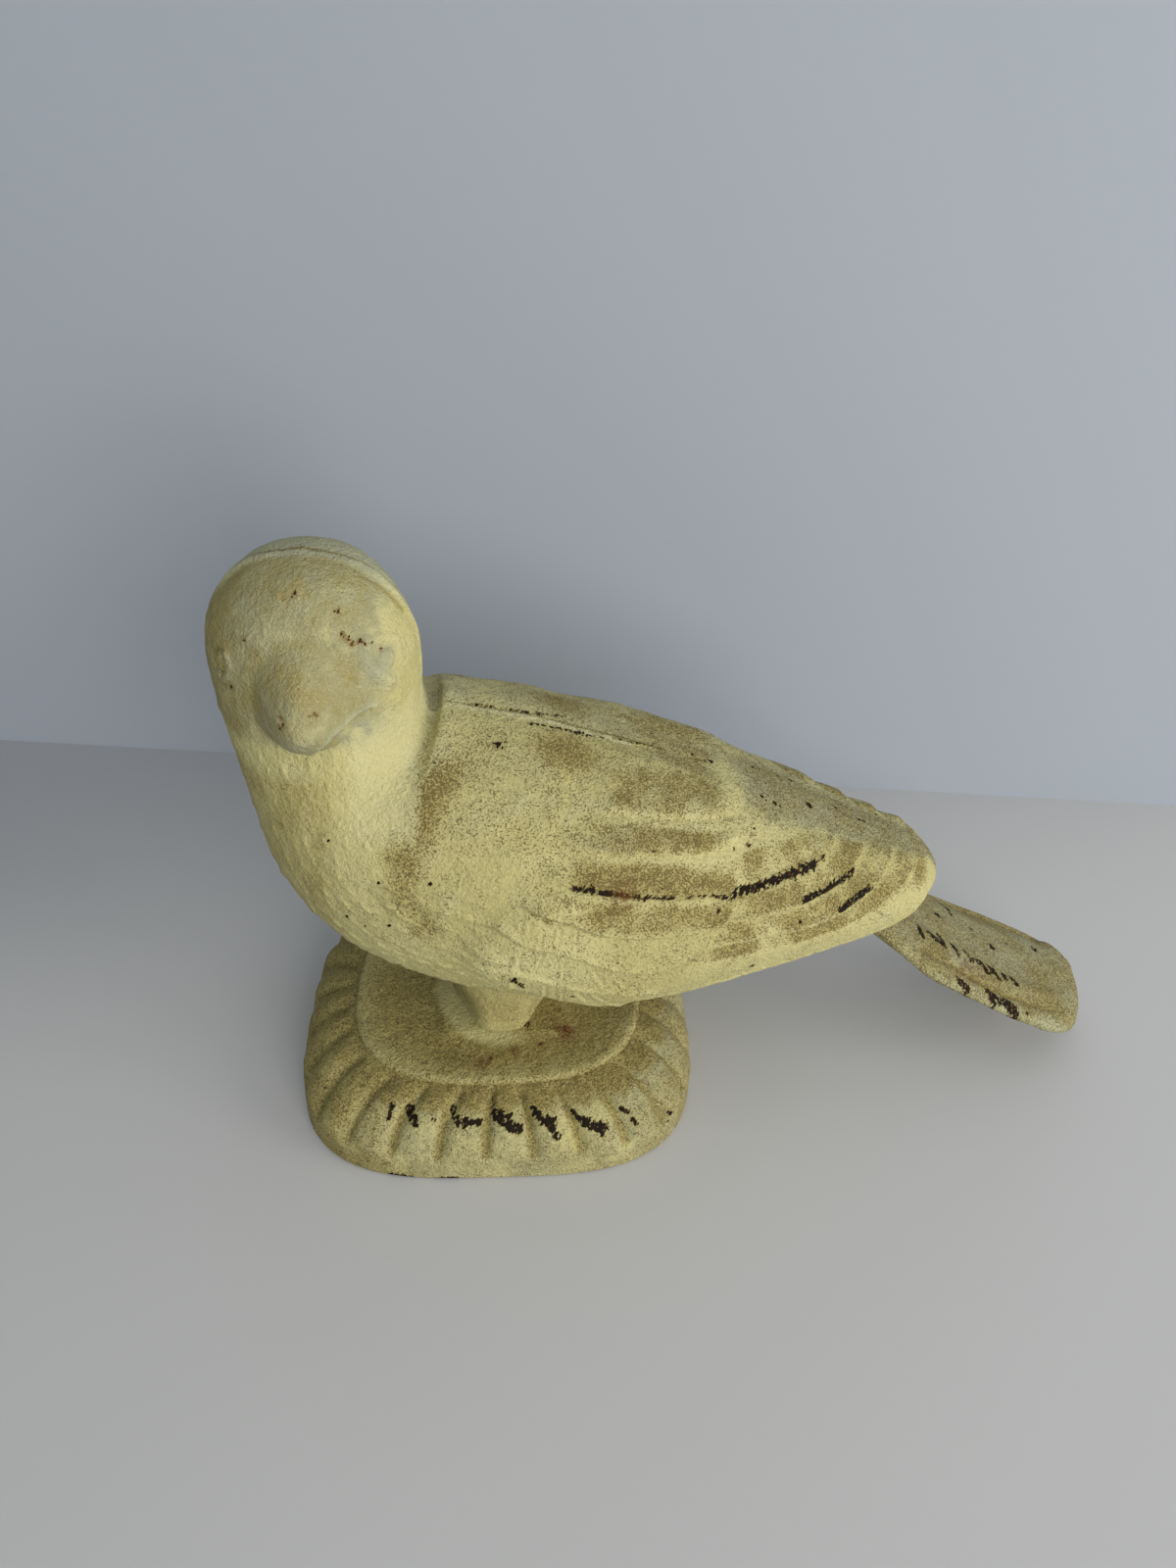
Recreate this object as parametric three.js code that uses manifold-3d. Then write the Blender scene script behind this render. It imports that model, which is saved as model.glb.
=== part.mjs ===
// A painted cast iron bird standing on a fluted base, in millimetres, +Z up.
// The bird looks to its left (-Y) and its tail points along +X.
// It is cast as two half shells that meet in the upright middle plane, a tail blade clamped
// between them, and a hollow base that a bolt with a nut holds to the stem.
import * as THREE from "three";
import { mergeVertices } from "three/addons/utils/BufferGeometryUtils.js";
import Module from "manifold-3d";

const wasm = await Module();
wasm.setup();

// Fits
const jointGap = 0.3; // between pieces that touch
const halfGap = 0.15; // from the middle plane to each half
const wall = 4.2; // of the half shells

// Base
const baseLength = 100;
const baseWidth = 88;
const baseHeight = 20.5; // to the plate's face
const lipHeight = 6;
const plateLength = 73;
const plateWidth = 62;
const plateProud = 1.4;
const baseSquareness = 3.3; // superellipse exponent of the foot
const plateSquareness = 2.7;
const baseWall = 4.5;
const fluteCount = 30;
const fluteDepth = 1.5;
const fluteSharpness = 7; // higher makes narrower grooves

// Stem under the belly
const stemFootLeft = [-5, 9]; // along X, on the bird's left half
const stemFootRight = [-12, 9];
const stemTop = [-15, 15];
const stemTopHeight = 42;
const stemDepthLeft = 13.5; // from the middle plane
const stemDepthRight = 12;

// Tail blade
const tailThickness = 5;
const tailEdge = 6; // higher makes the long edges squarer
const tailCrown = 1.2; // of the upper face over its edges
const tailPath = [
  // distance along X, height of the upper face, middle along Y, half width
  [81, 55.5, 0, 7],
  [90, 51.3, 0.5, 10],
  [98, 46.2, 0.8, 14.2],
  [107, 40, 0.8, 17.3],
  [122, 31.4, 0.9, 19],
  [137, 23.4, 1.2, 19.7],
  [147, 18.1, 2.6, 18.2],
  [153, 15, 5.6, 14.4],
  [156.8, 12.9, 8.2, 9.8],
  [158.4, 12, 10, 4],
];

// Screw through both halves
const screwX = 3;
const screwZ = 63;
const screwDiameter = 5;
const screwHeadDiameter = 9;
const screwHeadHeight = 3;
const screwReach = 18; // past the middle plane, in the left half
const screwSlot = 1.2;
const holeClearance = 0.3; // on the radius
const bossDiameter = 14;

// Bolt, washer and nut that hold the base
const boltX = 1;
const boltDiameter = 6;
const boltHeadAcross = 10;
const boltHeadHeight = 4;
const boltHeadZ = 30;
const washerDiameter = 16;
const washerThickness = 1.6;
const nutAcross = 10;
const nutHeight = 5;
const boltTail = 3; // of thread past the nut

// Shells: centre along X and height, lean of the section's upper axis from +X in degrees,
// reach up the axis, reach down it, and depth from the middle plane to the left and the right
const stations = [
  [107, 60.6, 100, 0, 0, 0, 0],
  [105, 60.6, 99, 4.3, 4.1, 5.5, 5.5],
  [100.5, 60.3, 97, 8.6, 8, 10.3, 10.3],
  [92, 60, 95, 12.4, 11.6, 14.7, 14.7],
  [80, 60.9, 93, 16.6, 16, 19.5, 19.5],
  [66, 62.4, 92, 22.2, 21.6, 24.6, 24.6],
  [48, 63.6, 91, 28.4, 28.4, 30, 30],
  [28, 65.8, 91, 33.4, 33.2, 34.2, 34.2],
  [9, 69.4, 90, 35.8, 35.4, 36, 36],
  [-9, 73.6, 84, 34.8, 33.8, 35, 35],
  [-21.5, 79.5, 68, 31.6, 31.4, 32.6, 32.6],
  [-29.2, 88, 46, 26.6, 26, 29.2, 29.2],
  [-32.8, 98.5, 22, 21.8, 21, 25, 23.8],
  [-34, 109.5, 4, 20, 20.8, 21.8, 20.2],
  [-34.4, 119.5, 0, 20.4, 21, 21.2, 18.8],
  [-34.5, 128.5, -2, 19.6, 20, 20, 17.6],
  [-34.6, 136.5, -2, 15.8, 15.8, 16.4, 14.4],
  [-34.7, 141.8, -2, 9.8, 9.8, 10.6, 9.4],
  [-34.8, 144, -2, 0, 0, 0, 0],
];
const stepsAlong = [2, 2, 2, 4, 5, 5, 6, 6, 4, 2, 2, 2, 2, 3, 3, 2, 2, 2]; // between stations
const stepsAbove = 4; // around, from the top of the seam to the wing
const stepsOnWing = 19;
const stepsBelow = 4; // from the wing to the foot of the seam
const wingTurn = [24, 122]; // degrees round from the top of the seam that the wing takes
const wingFade = [106, 97]; // distance along X where the feathers run out at the rump
const crownStep = 0.8; // how far the left half stands proud at the crown
const cavityStart = 5; // station where the hollow ends in the rump
const cavityRound = 3; // rings that round off each end of the hollow
const cavityEnd = 16.2; // and in the crown

// Wing: lines as points of distance along X and height
const wingRise = 0.9;
const featherRise = 1.1;
const groupStep = 0.5;
const wingFront = [
  [24, 46], [12, 56], [6, 61], [-2, 66], [6, 72], [11, 78], [15, 85], [17, 95], [22, 106],
];
const wingMargin = [
  [-4, 66.5], [8.5, 60.8], [15, 56.2], [21.7, 52.8], [32, 51.3], [55, 52.5], [85, 52.5], [95, 55.5],
  [103, 61],
];
// where the front rows end, as points of height and distance along X
const groupEnd = [
  [52, 36], [56.3, 39.9], [64.2, 45.5], [68.4, 48.3], [72.3, 50.3], [76.9, 50.8], [90, 56], [104, 62],
];
const frontRows = [
  [[10, 103], [30, 98.5], [55, 91]],
  [[18, 95.2], [30.6, 92.3], [41.4, 89.5], [55, 86.6]],
  [[18, 89.7], [30.4, 87.2], [41, 84.9], [55, 83]],
  [[12, 87], [17.4, 84.8], [29.3, 81.3], [37.6, 79.5], [50, 77.5]],
  [[8, 80], [12.2, 77.9], [18.9, 74.4], [31.7, 70.2], [38.4, 69.3], [48, 70]],
  [[4, 74.5], [14.7, 68.6], [21.2, 64.8], [27.9, 61.1], [34.5, 59.3], [46.4, 61.8]],
  wingMargin,
];
const rearRows = [
  [[45, 95], [60, 90.5], [75, 85], [95, 76]],
  [[45, 84.6], [60, 82.8], [75, 81], [85, 79.6], [98, 77]],
  [[45, 77.5], [59, 77.3], [66, 77], [73, 76.9], [82, 77.4], [95, 80]],
  [[45, 69.9], [57.7, 69.6], [70.3, 70.6], [82, 73], [88, 75.5], [95, 79]],
  [[45, 63.5], [62.2, 63.2], [74.7, 64.1], [83.7, 66.5], [90.4, 69.5], [97, 74]],
  [[45, 57.6], [62, 57.6], [76, 58], [86, 60], [93, 63], [99, 68], [103, 73]],
  wingMargin,
];

const steel = { color: 0x8b8782, roughness: 0.5, metalness: 0.8 };
const paint = { color: 0xcfc79a, roughness: 0.75, metalness: 0 };

// Smooth value of column k of the stations at place t
function atStation(t, k) {
  const last = stations.length - 1;
  const i = Math.min(Math.max(Math.floor(t), 0), last - 1);
  const f = t - i;
  const a = stations[Math.max(i - 1, 0)][k];
  const b = stations[i][k];
  const c = stations[i + 1][k];
  const d = stations[Math.min(i + 2, last)][k];
  const curve = (2 * a - 5 * b + 4 * c - d) * f * f + (3 * b - a - 3 * c + d) * f * f * f;
  return b + 0.5 * ((c - a) * f + curve);
}

function smooth(from, to, v) {
  const f = Math.min(Math.max((v - from) / (to - from), 0), 1);
  return f * f * (3 - 2 * f);
}

function evenly(from, to, count) {
  return Array.from({ length: count + 1 }, (_, i) => from + ((to - from) * i) / count);
}

// Closed solid from triangles, shared points merged and empty triangles dropped
function solidOf(geometry) {
  const bare = geometry.clone();
  for (const name of Object.keys(bare.attributes)) {
    if (name !== "position") bare.deleteAttribute(name);
  }
  const merged = mergeVertices(bare, 1e-4);
  const kept = [];
  const index = merged.index.array;
  for (let i = 0; i < index.length; i += 3) {
    const [a, b, c] = [index[i], index[i + 1], index[i + 2]];
    if (a !== b && b !== c && c !== a) kept.push(a, b, c);
  }
  return new wasm.Manifold(
    new wasm.Mesh({
      numProp: 3,
      vertProperties: Float32Array.from(merged.attributes.position.array),
      triVerts: Uint32Array.from(kept),
    }),
  );
}

// Skin over rings of points: each ring has the same count, and the first and last close on themselves
function skin(rings) {
  const count = rings[0].length;
  const positions = [];
  const add = (p) => positions.push(p.x, p.y, p.z);
  const middle = (ring) =>
    ring.reduce((sum, p) => sum.add(p), new THREE.Vector3()).divideScalar(count);
  for (let i = 0; i + 1 < rings.length; i++) {
    for (let j = 0; j < count; j++) {
      const next = (j + 1) % count;
      add(rings[i][j]);
      add(rings[i][next]);
      add(rings[i + 1][next]);
      add(rings[i][j]);
      add(rings[i + 1][next]);
      add(rings[i + 1][j]);
    }
  }
  for (const [ring, turned] of [
    [rings[0], true],
    [rings[rings.length - 1], false],
  ]) {
    const centre = middle(ring);
    for (let j = 0; j < count; j++) {
      const next = (j + 1) % count;
      add(centre);
      add(turned ? ring[next] : ring[j]);
      add(turned ? ring[j] : ring[next]);
    }
  }
  const geometry = new THREE.BufferGeometry();
  geometry.setAttribute("position", new THREE.Float32BufferAttribute(positions, 3));
  return geometry;
}

function moved(geometry, x, y, z) {
  return geometry.translate(x, y, z);
}

function cylinder(radius, height, sides = 32) {
  return new THREE.CylinderGeometry(radius, radius, height, sides);
}

// Rounded depth added to the face on the left half: cheeks, brow, beak and eyes
const beak = { x: -34.2, z: 119.5, width: 6.4, height: 4.6, length: 9.5 };
const eye = { spread: 15.6, z: 127.5, radius: 4.3, proud: 1.1 };

function faceRelief(x, z) {
  const bx = (x - beak.x) / beak.width;
  const bz = (z - beak.z) / (z > beak.z ? beak.height * 1.5 : beak.height);
  const r = Math.hypot(bx, bz);
  let rise = beak.length * (1 - smooth(0, 1.55, r));
  for (const side of [-1, 1]) {
    const d = Math.hypot((x - beak.x - side * eye.spread) * 1.15, z - eye.z) / eye.radius;
    rise += eye.proud * (smooth(1.25, 0.85, d) - 0.5 * smooth(0.7, 0.35, d));
  }
  return rise;
}

// Height at x on a line drawn through points of distance along X and height
function heightOn(line, x) {
  const i = line.findIndex((point) => point[0] > x);
  const at = i < 0 ? line.length - 1 : Math.max(i, 1);
  const [a, b] = [line[at - 1], line[at]];
  return a[1] + ((b[1] - a[1]) * (Math.min(Math.max(x, a[0] - 8), b[0] + 8) - a[0])) / (b[0] - a[0]);
}

// Rise of feathers that overlap like shingles: each row climbs to its lower edge and steps down
function rowRelief(rows, x, z) {
  for (let k = 1; k < rows.length; k++) {
    const top = heightOn(rows[k - 1], x);
    const foot = heightOn(rows[k], x);
    if (z <= top && z > foot) return featherRise * smooth(0, 1, (top - z) / (top - foot));
  }
  return 0;
}

// Raised wing with its front rows lying over the long rear feathers
function wingRelief(x, z) {
  const margin = heightOn(wingMargin, x);
  const front = heightOn(wingFront.map(([along, height]) => [height, along]), z);
  const inside = smooth(front - 1, front + 7, x) * smooth(margin - 1.2, margin + 0.8, z);
  const rear = smooth(-1, 1.5, x - heightOn(groupEnd, z));
  const over = rowRelief(frontRows, x, z) + groupStep;
  const rows = over * (1 - rear) + rowRelief(rearRows, x, z) * rear;
  return inside * (wingRise + rows) * smooth(...wingFade, x);
}

// One side of the skin as rings; inset shrinks it for the hollow
function shellRings(side, places, turns, inset) {
  const rings = [];
  const steps = places.length - 1;
  for (const [i, t] of places.entries()) {
    const lean = THREE.MathUtils.degToRad(atStation(t, 2));
    const axis = new THREE.Vector3(Math.cos(lean), 0, Math.sin(lean));
    const centre = new THREE.Vector3(atStation(t, 0), 0, atStation(t, 1));
    const near = Math.min(i / cavityRound, (steps - i) / cavityRound, 1);
    const ends = inset ? Math.sqrt(1 - (1 - near) ** 2) : 1;
    const proud = side < 0 ? crownStep * smooth(12, 15, t) * smooth(18, 17, t) : 0;
    const size = (k) => Math.max(atStation(t, k) - inset, 0) * ends;
    const up = size(3) + proud;
    const down = size(4) + proud;
    const depth = size(side < 0 ? 5 : 6);
    const ring = [];
    for (const turn of turns) {
      const reach = Math.cos(turn) * (turn < Math.PI / 2 ? up : down);
      const p = centre.clone().addScaledVector(axis, reach);
      let out = depth * Math.sin(turn);
      if (!inset && t < 11) out += wingRelief(p.x, p.z) * smooth(2, 9, out);
      if (!inset && side < 0 && t > 12) out += faceRelief(p.x, p.z) * smooth(0, 6, out);
      p.y = side * out;
      ring.push(p);
    }
    const back = -side * Math.min(3, depth / 2);
    ring.push(centre.clone().addScaledVector(axis, -down * 0.97).setY(back));
    ring.push(centre.clone().addScaledVector(axis, up * 0.97).setY(back));
    rings.push(side < 0 ? ring.reverse() : ring);
  }
  return rings;
}

// Stem tongue of one half: a block that narrows down to its foot on the base
function stemSolid(side) {
  const foot = side < 0 ? stemFootLeft : stemFootRight;
  const depth = side < 0 ? stemDepthLeft : stemDepthRight;
  const rings = [];
  const levels = 5;
  for (let i = 0; i <= levels; i++) {
    const f = i / levels;
    const z = baseHeight + jointGap + (stemTopHeight - baseHeight) * f;
    const flare = f ** 1.5;
    const left = foot[0] + (stemTop[0] - foot[0]) * flare;
    const right = foot[1] + (stemTop[1] - foot[1]) * flare;
    const out = depth * (1 + 0.12 * flare);
    const ring = [];
    for (let j = 0; j <= 10; j++) {
      const turn = (Math.PI * j) / 10;
      const c = Math.cos(turn);
      const x = (left + right) / 2 + ((right - left) / 2) * Math.sign(c) * Math.abs(c) ** 0.6;
      ring.push(new THREE.Vector3(x, side * out * Math.sin(turn) ** 0.5, z));
    }
    ring.push(new THREE.Vector3(left, -side * 2, z));
    ring.push(new THREE.Vector3(right, -side * 2, z));
    rings.push(side < 0 ? ring.reverse() : ring);
  }
  return solidOf(skin(rings));
}

// Tail blade, grown by a clearance for its pocket
function tailSolid(grow) {
  const rings = [];
  const steps = 2;
  const last = tailPath.length - 1;
  for (let i = 0; i <= last * steps; i++) {
    const at = Math.min(Math.floor(i / steps), last - 1);
    const f = i / steps - at;
    const [a, b, c, d] = [-1, 0, 1, 2].map((k) => tailPath[Math.min(Math.max(at + k, 0), last)]);
    const [x, z, middle, half] = [0, 1, 2, 3].map((k) => {
      const bend = (2 * a[k] - 5 * b[k] + 4 * c[k] - d[k]) * f * f;
      const twist = (3 * b[k] - a[k] - 3 * c[k] + d[k]) * f * f * f;
      return b[k] + 0.5 * ((c[k] - a[k]) * f + bend + twist);
    });
    const reach = Math.max(half, 0.5) + grow;
    const ring = [];
    const across = 10;
    const stretch = i === 0 ? -grow : 0;
    for (const face of [1, -1]) {
      for (let j = 0; j <= across; j++) {
        const v = face * (1 - (2 * j) / across);
        const edge = Math.sqrt(Math.max(1 - Math.abs(v) ** tailEdge, 0));
        const level = z + tailCrown * (1 - v * v) - tailThickness / 2;
        const height = level + face * edge * (grow + tailThickness / 2);
        ring.push(new THREE.Vector3(x + stretch, middle + reach * v, height));
      }
    }
    rings.push(ring);
  }
  return solidOf(skin(rings));
}

// Point at a turn on a rounded rectangle
function superellipse(length, width, squareness, turn) {
  const along = Math.cos(turn);
  const across = Math.sin(turn);
  const bend = 2 / squareness;
  return [
    (length / 2) * Math.sign(along) * Math.abs(along) ** bend,
    (width / 2) * Math.sign(across) * Math.abs(across) ** bend,
  ];
}

// Turn angles that share the outline's length evenly
function evenTurns(length, width, squareness, count) {
  const fine = 2880;
  const lengths = [0];
  let before = superellipse(length, width, squareness, 0);
  for (let i = 1; i <= fine; i++) {
    const point = superellipse(length, width, squareness, (2 * Math.PI * i) / fine);
    lengths.push(lengths[i - 1] + Math.hypot(point[0] - before[0], point[1] - before[1]));
    before = point;
  }
  const turns = [];
  let k = 0;
  for (let i = 0; i < count; i++) {
    while (lengths[k + 1] < (lengths[fine] * i) / count) k++;
    turns.push((2 * Math.PI * k) / fine);
  }
  return turns;
}

// Skirt of the base: the share of the flare that is left and the height, from foot to plate
function baseRings() {
  const perFlute = 4;
  const turns = evenTurns(baseLength, baseWidth, baseSquareness, fluteCount * perFlute);
  const rings = [];
  const profile = [[1, 0, 0], [1, lipHeight * 0.75, 0]];
  const rise = baseHeight - plateProud;
  for (let i = 0; i <= 7; i++) {
    const a = (Math.PI / 2) * (i / 7);
    const height = lipHeight + (rise - lipHeight) * Math.sin(a);
    profile.push([Math.cos(a), height, Math.min(i, 1) * smooth(7.6, 5, i)]);
  }
  for (const [out, height, depth] of profile) {
    rings.push(
      turns.map((turn, i) => {
        const [fx, fy] = superellipse(baseLength, baseWidth, baseSquareness, turn);
        const [px, py] = superellipse(plateLength, plateWidth, plateSquareness, turn);
        const groove = Math.abs(Math.cos((Math.PI * i) / perFlute)) ** fluteSharpness;
        const x = px + (fx - px) * out;
        const y = py + (fy - py) * out;
        const cut = groove * depth * fluteDepth;
        const scale = 1 - cut / Math.hypot(x, y);
        return new THREE.Vector3(x * scale, y * scale, height - (cut / 2) * (1 - out));
      }),
    );
  }
  return rings;
}

function plateSolid() {
  const turns = evenTurns(plateLength, plateWidth, plateSquareness, 72);
  const round = 1.2;
  const rings = [
    [0, baseHeight - plateProud - 3],
    [0, baseHeight - round],
    [0.35, baseHeight - 0.35],
    [round, baseHeight],
  ].map(([inset, z]) =>
    turns.map((turn) => {
      const [x, y] = superellipse(plateLength - 2 * inset, plateWidth - 2 * inset, plateSquareness, turn);
      return new THREE.Vector3(x, y, z);
    }),
  );
  return solidOf(skin(rings));
}

function baseSolid() {
  let base = solidOf(skin(baseRings())).add(plateSolid());
  const turns = evenTurns(baseLength, baseWidth, baseSquareness, 56);
  const roof = baseHeight - plateProud - baseWall;
  const hollow = [
    [1, -1],
    [1, lipHeight],
    [0.62, roof * 0.75],
    [0.3, roof],
  ].map(([out, z]) =>
    turns.map((turn) => {
      const [fx, fy] = superellipse(baseLength, baseWidth, baseSquareness, turn);
      const [px, py] = superellipse(plateLength, plateWidth, plateSquareness, turn);
      const x = px + (fx - px) * out;
      const y = py + (fy - py) * out;
      const scale = 1 - baseWall / Math.hypot(x, y);
      return new THREE.Vector3(x * scale, y * scale, z);
    }),
  );
  base = base.subtract(solidOf(skin(hollow)));
  const hole = cylinder(boltDiameter / 2 + holeClearance, 60).rotateX(Math.PI / 2);
  return base.subtract(solidOf(moved(hole, boltX, 0, 0)));
}

// Room on one side of the middle plane, far larger than the bird
function roomSolid(side) {
  const reach = 2 * tailPath[tailPath.length - 1][0];
  const room = new THREE.BoxGeometry(2 * reach, reach, 2 * reach);
  return solidOf(moved(room, 0, side * (reach / 2 + halfGap), 0));
}

// Depth of the skin where the screw leaves it, read from the station beside it
function bodyDepthAt(side) {
  return stations[8][side < 0 ? 5 : 6];
}

function halfSolid(side) {
  const places = stepsAlong.flatMap((count, i) => evenly(i, i + 1, count).slice(0, -1));
  places.push(stations.length - 1);
  const [wingTop, wingFoot] = wingTurn.map(THREE.MathUtils.degToRad);
  const turns = [
    ...evenly(0, wingTop, stepsAbove).slice(0, -1),
    ...evenly(wingTop, wingFoot, stepsOnWing).slice(0, -1),
    ...evenly(wingFoot, Math.PI, stepsBelow),
  ];
  let half = solidOf(skin(shellRings(side, places, turns, 0)));
  half = half.add(stemSolid(side));
  const cavity = solidOf(
    skin(shellRings(side, evenly(cavityStart, cavityEnd, 26), evenly(0, Math.PI, 12), wall)),
  );
  half = half.subtract(cavity);
  const reach = bodyDepthAt(side) - wall / 2;
  const boss = cylinder(bossDiameter / 2, reach);
  half = half.add(solidOf(moved(boss, screwX, (side * reach) / 2, screwZ)));
  const bore = screwDiameter / 2 + holeClearance;
  const depth = side < 0 ? screwReach + jointGap : 2 * bodyDepthAt(side);
  half = half.subtract(solidOf(moved(cylinder(bore, depth), screwX, (side * depth) / 2, screwZ)));
  if (side > 0) {
    const seat = screwHeadDiameter / 2 + holeClearance;
    const from = screwSeat() - jointGap;
    half = half.subtract(solidOf(moved(cylinder(seat, 20), screwX, from + 10, screwZ)));
  }
  const headRoom = hexagon(boltHeadAcross + 2 * holeClearance, boltHeadHeight + 2 * jointGap);
  half = half.subtract(solidOf(moved(headRoom, boltX, 0, boltHeadZ + boltHeadHeight / 2)));
  const shankRoom = cylinder(boltDiameter / 2 + holeClearance, 20).rotateX(Math.PI / 2);
  half = half.subtract(solidOf(moved(shankRoom, boltX, 0, boltHeadZ - 10 + jointGap)));
  half = half.subtract(tailSolid(jointGap));
  return half.intersect(roomSolid(side));
}

// Where the screw head's under face sits
function screwSeat() {
  return bodyDepthAt(1) - screwHeadHeight - 1.2;
}

function screwSolid() {
  const length = screwSeat() + screwReach;
  let screw = solidOf(moved(cylinder(screwDiameter / 2, length + 1), 0, screwSeat() - length / 2 + 0.5, 0));
  const head = cylinder(screwHeadDiameter / 2, screwHeadHeight);
  screw = screw.add(solidOf(moved(head, 0, screwSeat() + screwHeadHeight / 2, 0)));
  const slot = new THREE.BoxGeometry(screwHeadDiameter + 2, 1.4, screwSlot).rotateY(0.5);
  return screw.subtract(solidOf(moved(slot, 0, screwSeat() + screwHeadHeight, 0)));
}

function hexagon(across, height) {
  const radius = across / 2 / Math.cos(Math.PI / 6);
  return new THREE.CylinderGeometry(radius, radius, height, 6).rotateX(Math.PI / 2);
}

const roofUnder = baseHeight - plateProud - baseWall; // under face of the base's roof
const washerTop = roofUnder - jointGap;
const nutTop = washerTop - washerThickness - jointGap;
const boltEnd = nutTop - nutHeight - boltTail;

function boltSolid() {
  const length = boltHeadZ - boltEnd;
  const shank = cylinder(boltDiameter / 2, length + 1).rotateX(Math.PI / 2);
  const head = hexagon(boltHeadAcross, boltHeadHeight);
  return solidOf(moved(shank, 0, 0, boltEnd + (length + 1) / 2)).add(
    solidOf(moved(head, 0, 0, boltHeadZ + boltHeadHeight / 2)),
  );
}

function ringSolid(outer, height, top) {
  const bore = cylinder(boltDiameter / 2 + holeClearance, height + 2).rotateX(Math.PI / 2);
  return solidOf(moved(outer, 0, 0, top - height / 2)).subtract(
    solidOf(moved(bore, 0, 0, top - height / 2)),
  );
}

const object = new THREE.Group();

function addPiece(name, solid, look, x = 0, y = 0, z = 0) {
  const mesh = solid.getMesh();
  const geometry = new THREE.BufferGeometry();
  const positions = new Float32Array(mesh.numVert * 3);
  for (let i = 0; i < mesh.numVert; i++) {
    for (let k = 0; k < 3; k++) {
      positions[i * 3 + k] = mesh.vertProperties[i * mesh.numProp + k];
    }
  }
  geometry.setAttribute("position", new THREE.BufferAttribute(positions, 3));
  geometry.setIndex(new THREE.BufferAttribute(Uint32Array.from(mesh.triVerts), 1));
  geometry.computeVertexNormals();
  const piece = new THREE.Mesh(geometry, new THREE.MeshStandardMaterial(look));
  piece.name = name;
  piece.position.set(x, y, z);
  object.add(piece);
}

addPiece("left_half_casting", halfSolid(-1), paint);
addPiece("right_half_casting", halfSolid(1), paint);
addPiece("tail", tailSolid(0), paint);
addPiece("base_casting", baseSolid(), paint);
addPiece("cross_screw", screwSolid(), steel, screwX, 0, screwZ);
addPiece("base_bolt", boltSolid(), steel, boltX);
addPiece(
  "bolt_washer",
  ringSolid(cylinder(washerDiameter / 2, washerThickness).rotateX(Math.PI / 2), washerThickness, washerTop),
  steel,
  boltX,
);
addPiece("bolt_nut", ringSolid(hexagon(nutAcross, nutHeight), nutHeight, nutTop), steel, boltX);

// The origin is at the middle of the whole bird's footprint, on the ground
const box = new THREE.Box3().setFromObject(object);
object.position.set(-(box.min.x + box.max.x) / 2, -(box.min.y + box.max.y) / 2, -box.min.z);

export default object;
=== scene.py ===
import math
import bpy
import bmesh
import numpy as np
from mathutils import Matrix, Vector


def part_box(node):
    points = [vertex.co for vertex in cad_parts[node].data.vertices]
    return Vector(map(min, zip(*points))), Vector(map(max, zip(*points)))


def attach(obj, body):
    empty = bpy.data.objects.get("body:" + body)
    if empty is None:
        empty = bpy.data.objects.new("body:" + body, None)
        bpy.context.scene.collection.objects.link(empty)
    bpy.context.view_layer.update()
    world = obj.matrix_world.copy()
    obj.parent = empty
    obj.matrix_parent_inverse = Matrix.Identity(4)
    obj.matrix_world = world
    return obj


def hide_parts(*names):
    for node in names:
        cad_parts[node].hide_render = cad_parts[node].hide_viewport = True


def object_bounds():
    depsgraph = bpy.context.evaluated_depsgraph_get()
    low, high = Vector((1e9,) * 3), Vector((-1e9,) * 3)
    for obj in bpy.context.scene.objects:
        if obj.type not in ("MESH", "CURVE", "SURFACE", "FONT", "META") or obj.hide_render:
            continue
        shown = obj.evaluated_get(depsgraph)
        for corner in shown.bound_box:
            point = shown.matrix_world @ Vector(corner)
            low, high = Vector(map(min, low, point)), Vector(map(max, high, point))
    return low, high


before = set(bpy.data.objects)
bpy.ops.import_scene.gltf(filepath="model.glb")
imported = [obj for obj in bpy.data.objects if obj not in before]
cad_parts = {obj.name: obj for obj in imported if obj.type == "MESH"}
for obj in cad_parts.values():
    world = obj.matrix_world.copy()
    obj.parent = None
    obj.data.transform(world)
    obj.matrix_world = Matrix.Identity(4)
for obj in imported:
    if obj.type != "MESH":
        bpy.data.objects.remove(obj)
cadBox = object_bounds()

# Places are in millimetres from the middle of the base until a mesh is made
baseLow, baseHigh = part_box("base_casting")
toFrame = np.array([(baseLow[0] + baseHigh[0]) / 2 * 1000, 0.0, 0.0])


# Noise and lines

def smooth(a, b, v):
    # 0 at a and 1 at b, whichever is the larger
    f = np.clip((v - a) / (b - a), 0, 1)
    return f * f * (3 - 2 * f)


def bump(v, width):
    # 1 at 0, falling away on both sides
    return np.exp(-(v / width) ** 2)


def roundBump(dx, dz, width):
    # the same around a point
    return bump(np.hypot(dx, dz), width)


def latticeNoise(points, size, seed):
    # smooth noise from -1 to 1 whose features have this size in mm
    p = points / size
    cell = np.floor(p).astype(np.int64)
    f = p - cell
    f = f * f * (3 - 2 * f)
    total = np.zeros(len(p))
    for corner in range(8):
        step = np.array([corner & 1, corner >> 1 & 1, corner >> 2 & 1])
        c = cell + step
        # a whole number from 0 to 65535 for each corner of a cell
        h = (c[:, 0] * 73856093) ^ (c[:, 1] * 19349663) ^ (c[:, 2] * 83492791) ^ (seed * 2654435761)
        h = (h ^ (h >> 13)) * 1274126177
        h = (h ^ (h >> 16)) & 0xFFFF
        total += np.prod(np.where(step, f, 1 - f), axis=1) * (h / 32767.5 - 1)
    return total


# rise in mm, size in mm and seed of each layer of the sand-cast skin
castLayers = [(0.13, 11.0, 3), (0.08, 4.2, 5), (0.065, 2.0, 7), (0.05, 1.15, 9)]


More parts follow.
